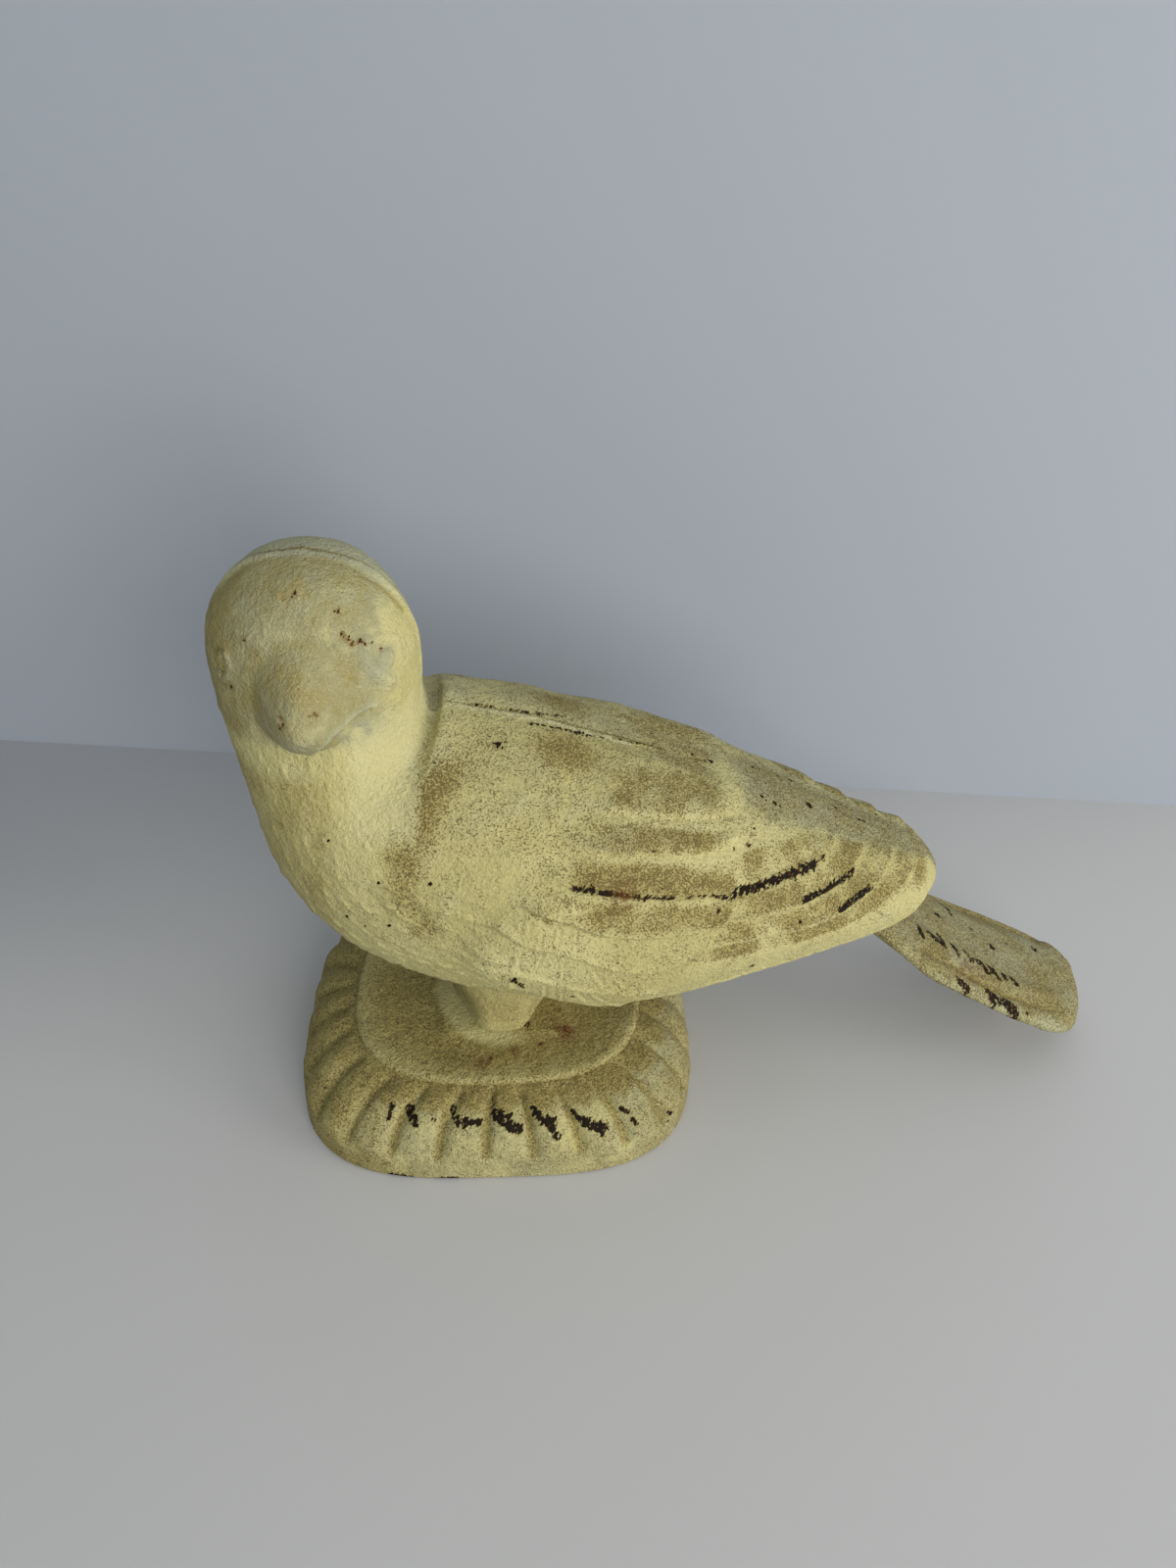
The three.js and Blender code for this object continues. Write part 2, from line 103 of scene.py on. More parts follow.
def castGrain(points):
    # uneven sand-cast surface, in mm along the normal
    flat = points.reshape(-1, 3)
    grain = sum(rise * latticeNoise(flat, size, seed) for rise, size, seed in castLayers)
    return grain.reshape(points.shape[:-1])


def heightOn(line, x):
    # height and slope of a smooth curve through points of distance along and height
    line = np.array(line, float)
    first = line[0] - (line[1] - line[0]) / (line[1, 0] - line[0, 0]) * 10
    last = line[-1] + (line[-1] - line[-2]) / (line[-1, 0] - line[-2, 0]) * 10
    knots = np.vstack([first, line, last])
    xs, zs = knots[:, 0], knots[:, 1]
    slopes = np.gradient(zs, xs)
    x = np.clip(x, xs[0], xs[-1])
    i = np.clip(np.searchsorted(xs, x) - 1, 0, len(xs) - 2)
    h = xs[i + 1] - xs[i]
    t = (x - xs[i]) / h
    value = ((2 * t**3 - 3 * t**2 + 1) * zs[i] + (t**3 - 2 * t**2 + t) * h * slopes[i]
             + (3 * t**2 - 2 * t**3) * zs[i + 1] + (t**3 - t**2) * h * slopes[i + 1])
    return value, slopes[i] * (1 - t) + slopes[i + 1] * t


def throughRows(table, place):
    # columns of a table at row numbers with fractions, along a smooth curve through its rows
    table = np.array(table, float)
    last = len(table) - 1
    i = np.clip(np.floor(place).astype(int), 0, last - 1)
    f = (place - i)[..., None]
    a, b = table[np.maximum(i - 1, 0)], table[i]
    c, d = table[i + 1], table[np.minimum(i + 2, last)]
    bend = (2 * a - 5 * b + 4 * c - d) * f * f + (3 * b - a - 3 * c + d) * f ** 3
    return np.moveaxis(b + 0.5 * ((c - a) * f + bend), -1, 0)


def distanceTo(path, x, z):
    # distance of each point to a path, and on which side of it the point lies
    best = np.full(np.shape(x), 1e9)
    side = np.zeros(np.shape(x))
    for (ax, az), (bx, bz) in zip(path[:-1], path[1:]):
        dx, dz = bx - ax, bz - az
        t = np.clip(((x - ax) * dx + (z - az) * dz) / (dx * dx + dz * dz + 1e-9), 0, 1)
        d = np.hypot(x - ax - t * dx, z - az - t * dz)
        nearer = d < best
        side = np.where(nearer, np.sign((x - ax) * dz - (z - az) * dx), side)
        best = np.where(nearer, d, best)
    return best, side


def bumpAlong(path, x, z, width):
    # 1 on a path, falling away beside it
    return bump(distanceTo(path, x, z)[0], width)


# Meshes

def placed(name, data):
    obj = bpy.data.objects.new(name, data)
    bpy.context.scene.collection.objects.link(obj)
    return obj


def asMesh(name, points, faces):
    mesh = bpy.data.meshes.new(name)
    points = np.asarray(points, float).reshape(-1, 3)
    mesh.from_pydata(((points + toFrame) / 1000).tolist(), [], faces)
    return placed(name, mesh)


def vertexRows(mesh, name):
    # places or normals of all the vertices
    rows = np.empty(len(mesh.vertices) * 3, np.float32)
    mesh.vertices.foreach_get(name, rows)
    return rows.reshape(-1, 3)


def storeMark(mesh, name, values):
    layer = mesh.attributes.new(name, "FLOAT", "POINT")
    layer.data.foreach_set("value", values.astype(np.float32))


def ringSkin(name, rings):
    # closed skin over rings of equal count, with flat ends
    rings = np.asarray(rings, float)
    rows, count = rings.shape[:2]
    i = np.arange(rows - 1)[:, None] * count
    j = np.arange(count)[None, :]
    k = (j + 1) % count
    faces = np.stack([i + j, i + k, i + count + k, i + count + j], -1).reshape(-1, 4).tolist()
    faces.append(list(range(count - 1, -1, -1)))
    faces.append(list(range((rows - 1) * count, rows * count)))
    return asMesh(name, rings, faces)


def outwardNormals(p, middle, closed=False):
    # normals of a grid of points, turned away from the middle
    if closed:
        p = np.concatenate([p[:, -1:], p, p[:, :1]], axis=1)
    n = np.cross(np.gradient(p, axis=0), np.gradient(p, axis=1))
    if closed:
        p, n = p[:, 1:-1], n[:, 1:-1]
    n /= np.maximum(np.linalg.norm(n, axis=2, keepdims=True), 1e-9)
    return n * np.where((n * (p - middle)).sum(-1) < 0, -1, 1)[..., None]


def tidyMesh(obj):
    # merges doubles and turns every face outwards
    bm = bmesh.new()
    bm.from_mesh(obj.data)
    bmesh.ops.remove_doubles(bm, verts=bm.verts, dist=2e-6)
    bmesh.ops.dissolve_degenerate(bm, edges=bm.edges, dist=1e-7)
    bmesh.ops.triangulate(bm, faces=[f for f in bm.faces if len(f.verts) > 4])
    bmesh.ops.recalc_face_normals(bm, faces=bm.faces)
    bm.to_mesh(obj.data)
    bm.free()


def applied(obj, modifier):
    # bakes a modifier into the mesh
    graph = bpy.context.evaluated_depsgraph_get()
    mesh = bpy.data.meshes.new_from_object(obj.evaluated_get(graph))
    obj.modifiers.remove(modifier)
    old = obj.data
    obj.data = mesh
    bpy.data.meshes.remove(old)


def cut(obj, other, operation):
    # joins or cuts with another solid, which is used up
    tidyMesh(obj)
    tidyMesh(other)
    modifier = obj.modifiers.new("cut", "BOOLEAN")
    modifier.operation = operation
    modifier.solver = "MANIFOLD"
    modifier.object = other
    applied(obj, modifier)
    bpy.data.objects.remove(other)


def drill(obj, x, radius, low, high):
    # plain upright bore
    cut(obj, lathe("bore", [(radius, low), (radius, high)], (x, 0, 0), "Z", 64), "DIFFERENCE")


def boxObject(low, high):
    (a, b, c), (d, e, f) = low, high
    points = [[a, b, c], [d, b, c], [d, e, c], [a, e, c], [a, b, f], [d, b, f], [d, e, f], [a, e, f]]
    faces = [[3, 2, 1, 0], [4, 5, 6, 7], [0, 1, 5, 4], [1, 2, 6, 5], [2, 3, 7, 6], [3, 0, 4, 7]]
    return asMesh("box", points, faces)


def lathe(name, profile, at, axis, sides=96, radiusAt=None):
    # solid of revolution along an axis from radius and height pairs
    turn = np.linspace(0, 2 * math.pi, sides + 1)[:-1]
    rings = []
    for radius, height in profile:
        r = radiusAt(radius, height, turn) if radiusAt else np.full(sides, float(radius))
        a, b = r * np.cos(turn), r * np.sin(turn)
        h = np.full(sides, float(height))
        ring = [a, b, h] if axis == "Z" else [b, h, a]
        rings.append(np.stack(ring, -1) + np.array(at, float))
    return ringSkin(name, rings)


# Bird's skin

body = {
    # centre along X and height, lean of the upper axis, reach up, reach down, depth left, depth right
    "stations": [
        [107, 60.6, 100, 0, 0, 0, 0],
        [105, 60.6, 99, 4.3, 4.1, 5.5, 5.5],
        [100.5, 60.3, 97, 8.6, 8, 10.3, 10.3],
        [92, 60, 95, 12.4, 11.6, 14.7, 14.7],
        [80, 60.9, 93, 16.6, 16, 19.5, 19.5],
        [66, 62.4, 92, 22.2, 21.6, 24.6, 24.6],
        [48, 63.6, 91, 28.4, 28.4, 30, 30],
        [28, 65.8, 91, 33.4, 33.2, 34.2, 34.2],
        [9, 69.4, 90, 35.8, 35.4, 36, 36],
        [-9, 73.6, 84, 34.8, 33.8, 35, 35],
        [-21.5, 79.5, 68, 31.6, 31.4, 32.6, 32.6],
        [-29.2, 88, 46, 26.6, 26, 29.2, 29.2],
        [-32.8, 98.5, 22, 21.8, 21, 25, 23.8],
        [-34, 109.5, 4, 20, 20.8, 21.8, 20.2],
        [-34.4, 119.5, 0, 20.4, 21, 21.2, 18.8],
        [-34.5, 128.5, -2, 19.6, 20, 20, 17.6],
        [-34.6, 136.5, -2, 15.8, 15.8, 16.4, 14.4],
        [-34.7, 141.8, -2, 9.8, 9.8, 10.6, 9.4],
        [-34.8, 144, -2, 0, 0, 0, 0],
    ],
    # rings from each station to the next, points around each ring
    "steps": [10, 12, 20, 26, 30, 34, 46, 56, 34, 24, 22, 20, 18, 18, 18, 18, 12, 14],
    "around": 190,
    "halfGap": 0.1,
    "wall": 4.2,
    # first and last station of the room inside, and its number of rings
    "hollowStations": (5, 16.2, 27),
    # how far the left half stands proud of the right one over the crown
    "crownStep": 0.8,
    # stations where the wings end and the face starts
    "wingsTo": 11,
    "faceFrom": 12,
}
wing = {
    "rise": 0.9,
    "groupStep": 0.5,
    # outlines along X and height: the wing's front, its lower margin and the end of the front feathers
    "front": [[24, 44], [10, 52], [2, 57], [-5, 62], [-7, 68], [-6.5, 73], [-4, 78], [2, 83], [9, 88],
              [15, 96], [22, 106]],
    "margin": [[-4, 62.5], [3, 58], [9, 53.5], [15, 50], [22, 47.8], [32, 47], [45, 48.5], [55, 50.5],
               [85, 52.5], [95, 55.5], [103, 61]],
    "groupEnd": [[50, 31], [54, 35.5], [58.5, 39.5], [66, 45.2], [70.3, 47.8], [73.5, 50], [77.7, 50.6],
                 [84, 51.5], [92, 54], [104, 60]],
    # rise and softness of each row's lower edge in mm, how much soil and painted shade lie in the row's
    # trough, then the edge
    "frontRows": [
        (0, 1, 0, [[10, 103], [30, 98.5], [55, 91]]),
        (0.95, 1.8, 0.75, [[18, 95.2], [30.6, 92.3], [41.4, 89.5], [55, 86.6]]),
        (1.05, 1.5, 1.0, [[18, 89.7], [30.4, 87.2], [41, 84.9], [55, 83]]),
        (1.1, 1.3, 1.0, [[12, 85.8], [17.4, 83.5], [29.3, 80], [37.6, 78.2], [50, 76.2]]),
        (1.05, 0.9, 0.75, [[8, 80.6], [12.6, 78.4], [17.4, 76.4], [22.1, 73.8], [27.7, 72.2], [33.4, 71.1],
                          [39.2, 70.4], [48, 70.6]]),
        (1.0, 0.9, 0.3, [[-4, 77.6], [1.8, 76.5], [6.1, 73.4], [11.2, 71.4], [14.8, 70.2], [18.5, 68],
                         [22.3, 65.6], [28.1, 63.1], [33.9, 61.8], [40.7, 63], [47, 65.5]]),
        (0.95, 0.85, 0.1, [[-3, 65.8], [3.8, 65.1], [8.3, 63.6], [12.2, 61.1], [17.9, 58.6], [25.8, 55.4],
                           [31.7, 53.8], [38, 53.6], [46, 55.5], [52, 58]]),
    ],
    # of the strip between the last row and the margin
    "marginStrip": (0.7, 0.9, 0.1),
    "rearRows": [
        (0, 1, 0, [[45, 95], [60, 90.5], [75, 85], [95, 76]]),
        (0.2, 3.5, 0.4, [[45, 84.6], [60, 82.8], [75, 81], [85, 79.6], [98, 77]]),
        (0.9, 1.0, 0.85, [[45, 77.6], [52, 77], [59, 76.1], [65, 75.4], [70, 75.6], [76, 76.2], [86, 78.5]]),
        (1.0, 1.0, 0.95, [[45, 72], [50, 71.3], [57, 69.9], [64, 69.5], [71, 70], [76, 70.6], [81, 72.1],
                          [88, 74.5]]),
        (0.95, 1.0, 0.95, [[45, 65.2], [57, 64.7], [64, 64.2], [70, 63.7], [75, 64.3], [82, 66], [88, 68],
                         [92.5, 70.4], [97, 74]]),
        (0.75, 1.0, 0.85, [[45, 59.5], [62, 59.4], [76, 59.4], [84, 60.4], [90, 62.4], [95, 64.6], [98, 67],
                         [101, 71]]),
    ],
    # short cuts across the small feathers at the front of the wing
    "cuts": [
        [[10.6, 75.7], [9.9, 73]], [[14.2, 75.9], [13.6, 72.2]], [[17.8, 75.4], [17.5, 70.2]],
        [[8.2, 78.2], [7.5, 75.6]], [[6, 71], [5.5, 66.8]], [[10.6, 70], [8.9, 65.2]],
        [[15.3, 68.6], [15, 62.6]], [[20.8, 65.4], [23.6, 59.4]], [[25.6, 62.6], [28.6, 57.8]],
        [[2.4, 64.2], [1.7, 59.2]], [[5.3, 63.6], [4.6, 57.8]], [[8.2, 62.2], [7.9, 55.4]],
        [[11.5, 60], [11.4, 53]], [[15, 58.4], [15.2, 52]], [[18.2, 56.8], [20.4, 52]],
        [[22, 55.2], [24.4, 51]],
    ],
    "cutDepth": 0.24,
    # soft folds over the shoulder, and dents beside the nape
    "folds": [
        [[27, 97.5], [12, 95], [-3, 88]], [[22, 93], [6, 89.5], [-8, 81]], [[17, 88], [2, 83], [-10, 75.5]],
        [[30, 101.5], [14, 101.5], [0, 96.5]],
    ],
    "foldRise": 0.22,
    "dentDepth": 0.4,
    "dents": [[[-15.3, 80.3], [-13.4, 77.5], [-11.6, 74.4]], [[-24.7, 83.2], [-22.9, 81.1], [-21.4, 78.9]]],
}
face = {
    "snout": {"x": -34.4, "z": 119.4, "left": 10.2, "right": 10.6, "above": 14.5, "below": 7.6, "rise": 8.2},
    "mouth": [[-41.8, 118.6], [-40.2, 115.4], [-37.8, 112.7], [-35.2, 111.7], [-32.5, 112.8],
              [-29.7, 115.6], [-27.4, 117.1], [-25.2, 117.9], [-22.2, 118.6]],
    # centre of each eye, the fold below it, the lid above it and the fold's width
    "eyes": [
        ([-18.7, 127.2], [[-22.3, 131.2], [-22.2, 128.2], [-20.6, 125.2], [-18.4, 122.2]],
         [[-21.3, 131.6], [-19.2, 131.4], [-17.2, 129.6], [-16.8, 126.5]], 1.3),
        ([-50.2, 127.2], [[-48.3, 129], [-48, 127], [-48.6, 124.9], [-50.2, 123.6], [-51.4, 124.2]],
         [[-48.6, 129.6], [-49.8, 130.3], [-51.2, 129.6]], 0.8),
    ],
    "nostrils": [[-37.2, 122.7], [-31.2, 123.2]],
    "cheek": [-22.5, 121.5],
    "brows": [[[-27, 133.2], [-21, 132.8], [-17, 131]], [[-42, 133.2], [-47, 132.8], [-51, 131]]],
}
# stations and angles tell where on the breast the flecks lie, reach counts the points around each one
flecks = {
    "count": 210, "apart": 3.2, "length": 1.6, "width": 0.62, "rise": 0.36, "tries": 6000, "reach": 16,
    "stations": (7.6, 13.4), "angles": (0.45, 2.95),
}


def rowRelief(rows, x, z):
    # each row climbs to a rounded crest at its lower edge and steps down to a crease
    rise = np.zeros(x.shape)
    trough = np.zeros(x.shape)
    within = np.zeros(x.shape)
    edges = [heightOn(row[3], x) for row in rows] + [heightOn(wing["margin"], x)]
    sizes = [row[:3] for row in rows] + [wing["marginStrip"]]
    for k in range(1, len(edges)):
        top, foot, slope = edges[k - 1][0], edges[k][0], edges[k][1]
        here = (z <= top) & (z > foot)
        lift, soft, troughSoilAndShade = sizes[k]
        share = np.clip((top - z) / np.maximum(top - foot, 0.1), 0, 1)
        away = (z - foot) / np.sqrt(1 + slope ** 2)
        crest = np.sqrt(np.clip(1 - (1 - np.clip(away / soft, 0, 1)) ** 2, 0, 1))
        ridge = (0.45 if soft < 1 else 0.25) * lift * bump(away - 0.75 * soft, 0.3 + 0.3 * soft)
        down = (top - z) / np.sqrt(1 + edges[k - 1][1] ** 2)
        crease = 0.4 * sizes[k - 1][0] * bump(down, 0.55)
        rise = np.where(here, (lift * share ** 1.35 + ridge) * crest - crease, rise)
        # soil and painted shade in the trough below the row above
        trough = np.where(here, troughSoilAndShade * smooth(1.0, 0.6, share) * smooth(-0.02, 0.16, share), trough)
        within = np.where(here, share, within)
    return rise, trough, within


def wingFields(x, z):
    # rise of the wing over the body, and how deep in a trough each point lies
    margin = heightOn(wing["margin"], x)[0]
    front = heightOn([[h, along] for along, h in wing["front"]], z)[0]
    inside = smooth(-1, 7 + 9 * smooth(72, 84, z), x - front) * smooth(-0.9, 0.4, z - margin)
    over, overTrough, within = rowRelief(wing["frontRows"], x, z)
    under, underTrough, _ = rowRelief(wing["rearRows"], x, z)
    edge = heightOn(wing["groupEnd"], z)[0] + 1.5 * (1 - (2 * within - 1) ** 2) - 0.4
    away = x - edge
    blend = 0.45 + 5 * smooth(78, 86, z)
    rear = smooth(-blend, blend, away)
    lip = 0.3 * bump(away + 0.8, 0.8) * smooth(98, 84, z)
    rise = (over + wing["groupStep"] * smooth(93, 82, z) + lip) * (1 - rear) + under * rear
    cuts = np.zeros(x.shape)
    for path in wing["cuts"]:
        d, side = distanceTo(path, x, z)
        cuts += 1.1 * bump(d - 0.7, 0.36) * (side > 0) - 1.1 * bump(d, 0.36)
    overTrough = overTrough * (0.35 + 0.65 * np.maximum(smooth(0, 9, -away), smooth(82, 79, z)))
    underTrough = underTrough * (0.5 + 0.5 * smooth(0, 6, away))
    trough = inside * (overTrough * (1 - rear) + underTrough * rear)
    total = inside * (wing["rise"] + rise) * smooth(106, 97, x) + wing["cutDepth"] * cuts
    for path in wing["folds"]:
        total += wing["foldRise"] * bumpAlong(path, x, z, 1.7)
    for path in wing["dents"]:
        total -= wing["dentDepth"] * bumpAlong(path, x, z, 1.3)
    return total, trough


def faceRelief(x, z):
    # snout, mouth, nostrils, cheek and brows, in mm towards the viewer
    s = face["snout"]
    dx, dz = x - s["x"], z - s["z"]
    r = np.hypot(dx / np.where(dx > 0, s["right"], s["left"]), dz / np.where(dz > 0, s["above"], s["below"]))
    power = 1.55 - 0.85 * smooth(0, 1, -dz / s["below"])
    rise = s["rise"] * np.clip(1 - r * r, 0, 1) ** power
    d, side = distanceTo(face["mouth"], x, z)
    rise += 0.85 * bump(d - 0.95, 0.65) * (side < 0) * smooth(-37, -31, x)
    rise -= 0.7 * bump(d, 0.6) * (0.1 + 0.9 * smooth(-38, -33, x))
    for nx, nz in face["nostrils"]:
        rise -= 0.45 * roundBump(x - nx, z - nz, 0.6)
    cheekX, cheekZ = face["cheek"]
    rise += 0.5 * roundBump(x - cheekX, (z - cheekZ) * 0.9, 4.0)
    for path in face["brows"]:
        rise += 0.45 * bumpAlong(path, x, z, 1.4)
    return rise


def onSkin(path, p):
    # puts a path of x and z onto the near skin
    flat = p.reshape(-1, 3)
    return [flat[np.argmin((flat[:, 0] - x) ** 2 + (flat[:, 2] - z) ** 2)] for x, z in path]


def distanceIn3d(path, p):
    best = np.full(p.shape[:-1], 1e9)
    for a, b in zip(path[:-1], path[1:]):
        t = np.clip((p - a) @ (b - a) / ((b - a) @ (b - a) + 1e-9), 0, 1)
        best = np.minimum(best, np.linalg.norm(p - a - t[..., None] * (b - a), axis=-1))
    return best


def eyeRelief(p):
    # each eye is a low dome with a fold below it and a lid above it
    rise = np.zeros(p.shape[:2])
    for centre, fold, lid, width in face["eyes"]:
        d = np.linalg.norm(p - onSkin([centre], p)[0], axis=-1)
        below, above = distanceIn3d(onSkin(fold, p), p), distanceIn3d(onSkin(lid, p), p)
        rise += 0.75 * width * bump(below, width) + 0.45 * bump(above, 0.75)
        socket = 0.45 * bump(d - 2.6, 0.7) * smooth(width * 0.8, width * 1.6, below)
        rise += 0.45 * smooth(2.8, 0.8, d) - socket
    return rise


def fleckRelief(p, t, turn, side):
    # small raised dashes on the breast that point along the body
    rng = np.random.default_rng(11 if side < 0 else 12)
    tangent = np.gradient(p, axis=0)
    tangent /= np.maximum(np.linalg.norm(tangent, axis=2, keepdims=True), 1e-9)
    rise = np.zeros(p.shape[:2])
    chosen = []
    (first, last), (low, high) = flecks["stations"], flecks["angles"]
    rows = np.nonzero((t[:, 0] > first) & (t[:, 0] < last))[0]
    columns = np.nonzero((turn > low) & (turn < high))[0]
    reach = flecks["reach"]
    for _ in range(flecks["tries"]):
        if len(chosen) == flecks["count"]:
            break
        i = rows[rng.integers(len(rows))]
        j = columns[rng.integers(len(columns))]
        c = p[i, j]
        likely = 0.25 + (smooth(100, 78, c[2]) + smooth(-24, -34, c[0]))
        if rng.random() > likely or c[0] > 10 - (78 - c[2]) * 0.2 or (c[0] > -23 and c[2] > 86):
            continue
        if any(np.sum((c - other) ** 2) < flecks["apart"] ** 2 for other in chosen):
            continue
        chosen.append(c)
        near = slice(max(i - reach, 0), i + reach + 1), slice(max(j - reach, 0), j + reach + 1)
        d = p[near] - c
        along = d @ tangent[i, j]
        across = np.sqrt(np.maximum((d * d).sum(-1) - along ** 2, 0))
        size = rng.uniform(0.7, 1.25) * (1 - 0.3 * smooth(80, 95, c[2]))
        taper = 1 + 0.35 * along / flecks["length"]
        rise[near] += (flecks["rise"] * size * bump(along, flecks["length"] * size)
                       * bump(across, flecks["width"] * np.clip(taper, 0.5, 1.5)))
    return rise


def shellGrid(side, places, turn, inset):
    # points of one half's skin, moved in by an inset, and what its sections are made of
    t = np.array(places, float)[:, None]
    x, z, lean, up, down, left, right = throughRows(body["stations"], t)
    lean = np.radians(lean)
    proud = body["crownStep"] * smooth(12, 15, t) * smooth(18, 17, t) * (side < 0)
    up = np.maximum(up - inset, 0) + proud
    down = np.maximum(down - inset, 0) + proud
    depth = np.maximum((left if side < 0 else right) - inset, 0)
    reach = np.cos(turn)[None, :] * np.where(turn[None, :] < math.pi / 2, up, down)
    out = depth * np.sin(turn)[None, :]
    centre = np.stack([x, 0 * t, z], -1)
    axis = np.stack([np.cos(lean), 0 * t, np.sin(lean)], -1)
    p = centre + axis * reach[..., None]
    p[..., 1] = side * out
    return t, p, out, centre, axis, up, down, depth


def seamLift(side, t, out, turn):
    # rounded and stepped edges where the halves meet, in mm along the section's axis
    top = turn < math.pi / 2
    head = smooth(12.6, 13.6, t)
    back = smooth(6.9, 7.7, t) * smooth(12.6, 11.8, t) * top
    lift = -0.5 * np.clip(1 - out / 0.75, 0, 1) ** 2 * np.clip(head + back, 0, 1)
    if side < 0:
        rim = head * (top + (~top) * smooth(14.5, 16, t)) * (0.2 + 0.8 * smooth(15.6, 16.8, t))
        lift += rim * (0.25 * bump(out - 1.1, 0.6) - 0.35 * bump(out - 3.1, 1.0))
        lift -= 0.75 * rim * smooth(1.5, 2.8, out) * smooth(16, 5, out)
        lift += 0.4 * back * bump(out - 1.6, 0.9) * smooth(9.5, 11, t)
    else:
        lift -= 0.35 * back * smooth(4, 0.5, out) + 0.5 * head * smooth(3.2, 0.4, out)
    return lift


def backing(side, centre, axis, up, down, depth):
    # two points behind the middle plane that close each ring
    points = []
    for reach in (-down, up):
        e = centre + axis * (reach * 0.97)[..., None]
        e[..., 1] = -side * np.minimum(3, depth / 2)
        points.append(e)
    return points


def sectionTurns(count):
    # angles around a section, closer together along the wing's lower feathers
    fine = np.linspace(0, math.pi, 721)
    weight = 1 + smooth(1.15, 1.3, fine) * smooth(2.3, 2.1, fine)
    total = np.concatenate([[0], np.cumsum((weight[1:] + weight[:-1]) / 2)])
    return np.interp(np.linspace(0, total[-1], count + 1), total, fine)


def shellObject(name, side):
    # solid skin of one half with all its relief, still without its hollow
    places = np.concatenate([i + np.arange(n) / n for i, n in enumerate(body["steps"])]
                            + [[len(body["steps"])]])
    turn = sectionTurns(body["around"])
    t, p, out, centre, axis, up, down, depth = shellGrid(side, places, turn, 0)
    n = outwardNormals(p, centre)
    x, z = p[..., 0], p[..., 2]
    fade = smooth(1, 7, out) if side < 0 else smooth(5, 13, out)
    behind = smooth(48, 62, x)
    fade = fade * (1 - behind) + behind * smooth(0.25, 0.62, out / np.maximum(depth, 1))
    onFace = t > body["faceFrom"]
    lift = wingFields(x, z)[0] * (t < body["wingsTo"]) * fade
    lift += castGrain(p) * smooth(0.0, 1.2, out) * (1 + 0.4 * smooth(11, 13, t))
    lift += fleckRelief(p, t, turn, side) * smooth(1.5, 4, out)
    if side < 0:
        lift += eyeRelief(p) * onFace
    q = p + n * lift[..., None]
    q += axis * (np.sign(np.cos(turn))[None, :] * seamLift(side, t, out, turn) * np.minimum(up, 1))[..., None]
    if side < 0:
        q[..., 1] -= faceRelief(x, z) * onFace * smooth(0, 6, out)
    q[..., 1] = side * np.maximum(side * q[..., 1], 0)
    rings = np.concatenate([q] + backing(side, centre, axis, up, down, depth), axis=1)
    return ringSkin(name, rings)


def hollowObject(side):
    # the room inside one half, with rounded ends
    places = np.linspace(*body["hollowStations"])
    turn = np.linspace(0, math.pi, 25)
    _, p, _, centre, axis, up, down, depth = shellGrid(side, places, turn, body["wall"])
    i = np.arange(len(places))
    near = np.minimum(np.minimum(i, i[::-1]) / 3, 1)
    ends = np.sqrt(1 - (1 - near) ** 2)[:, None, None]
    rings = np.concatenate([p] + backing(side, centre, axis, up, down, depth), axis=1)
    return ringSkin("hollow", centre + (rings - centre) * ends)


# Stem, tail and their cuts

# ends along X at the foot and at the top, the foot's height and the stem's, depth of each half along Y
stem = {
    "low": (-11.6, 13.6), "high": (-15, 20), "foot": 20.56, "height": 21.5,
    "depthLeft": 14.6, "depthRight": 12, "ledge": 1.2, "around": 81,
}
tail = {
    # distance along X, height of the upper face, middle along Y, half width
    "path": [[81, 55.5, 0, 7], [90, 51.3, 0.5, 10], [98, 46.2, 0.8, 14.2], [107, 40, 0.8, 17.3],
             [122, 31.4, 0.9, 19], [137, 23.4, 1.2, 19.7], [147, 18.1, 2.6, 18.2], [153, 15, 5.6, 14.4],
             [156.8, 12.9, 8.2, 9.8], [158.4, 12, 10, 4]],
    "thickness": 5, "edge": 6, "crown": 1.2, "play": 0.3, "steps": 18, "across": 96,
    # lines of the upper face along X and Y: a groove, a ridge and short worn strokes between them
    "groove": [[106, -10.8], [112.5, -11.4], [117.8, -12.6], [123.4, -13.3], [129, -13.8], [136.3, -13.2],
               [142, -12.4]],
    "ridge": [[103, -3.5], [108, -4.5], [115, -5.8], [122, -7], [130, -8.4], [140, -8.6], [149, -6]],
    "strokes": [
        [[105.7, -3.4], [106, -6.2]], [[108.2, -3.9], [109.4, -4.8]], [[109.4, -4], [110.3, -5.6]],
        [[111.8, -2.5], [112.3, -6.1]], [[115.4, -4.3], [116.1, -7.2]], [[119.2, -4.6], [119.9, -7.3]],
        [[122, -6.3], [122.3, -7]], [[123, -6.4], [123.9, -9.1]], [[125.3, -6.6], [126.1, -8.5]],
        [[126.6, -7.4], [127.4, -9.7]], [[129.5, -7.5], [129.8, -9.1]], [[131.7, -7.6], [133, -9.3]],
    ],
}
# seat is the distance of the head's seat from the middle plane, and reach that of the far end
screw = {
    "x": 3, "z": 63, "seat": 31.8, "head": 4.5, "height": 3.0, "shank": 2.5, "reach": 18, "play": 0.3,
    "slotWidth": 1.2, "slotDepth": 1.2, "slotLean": 0.5,
}


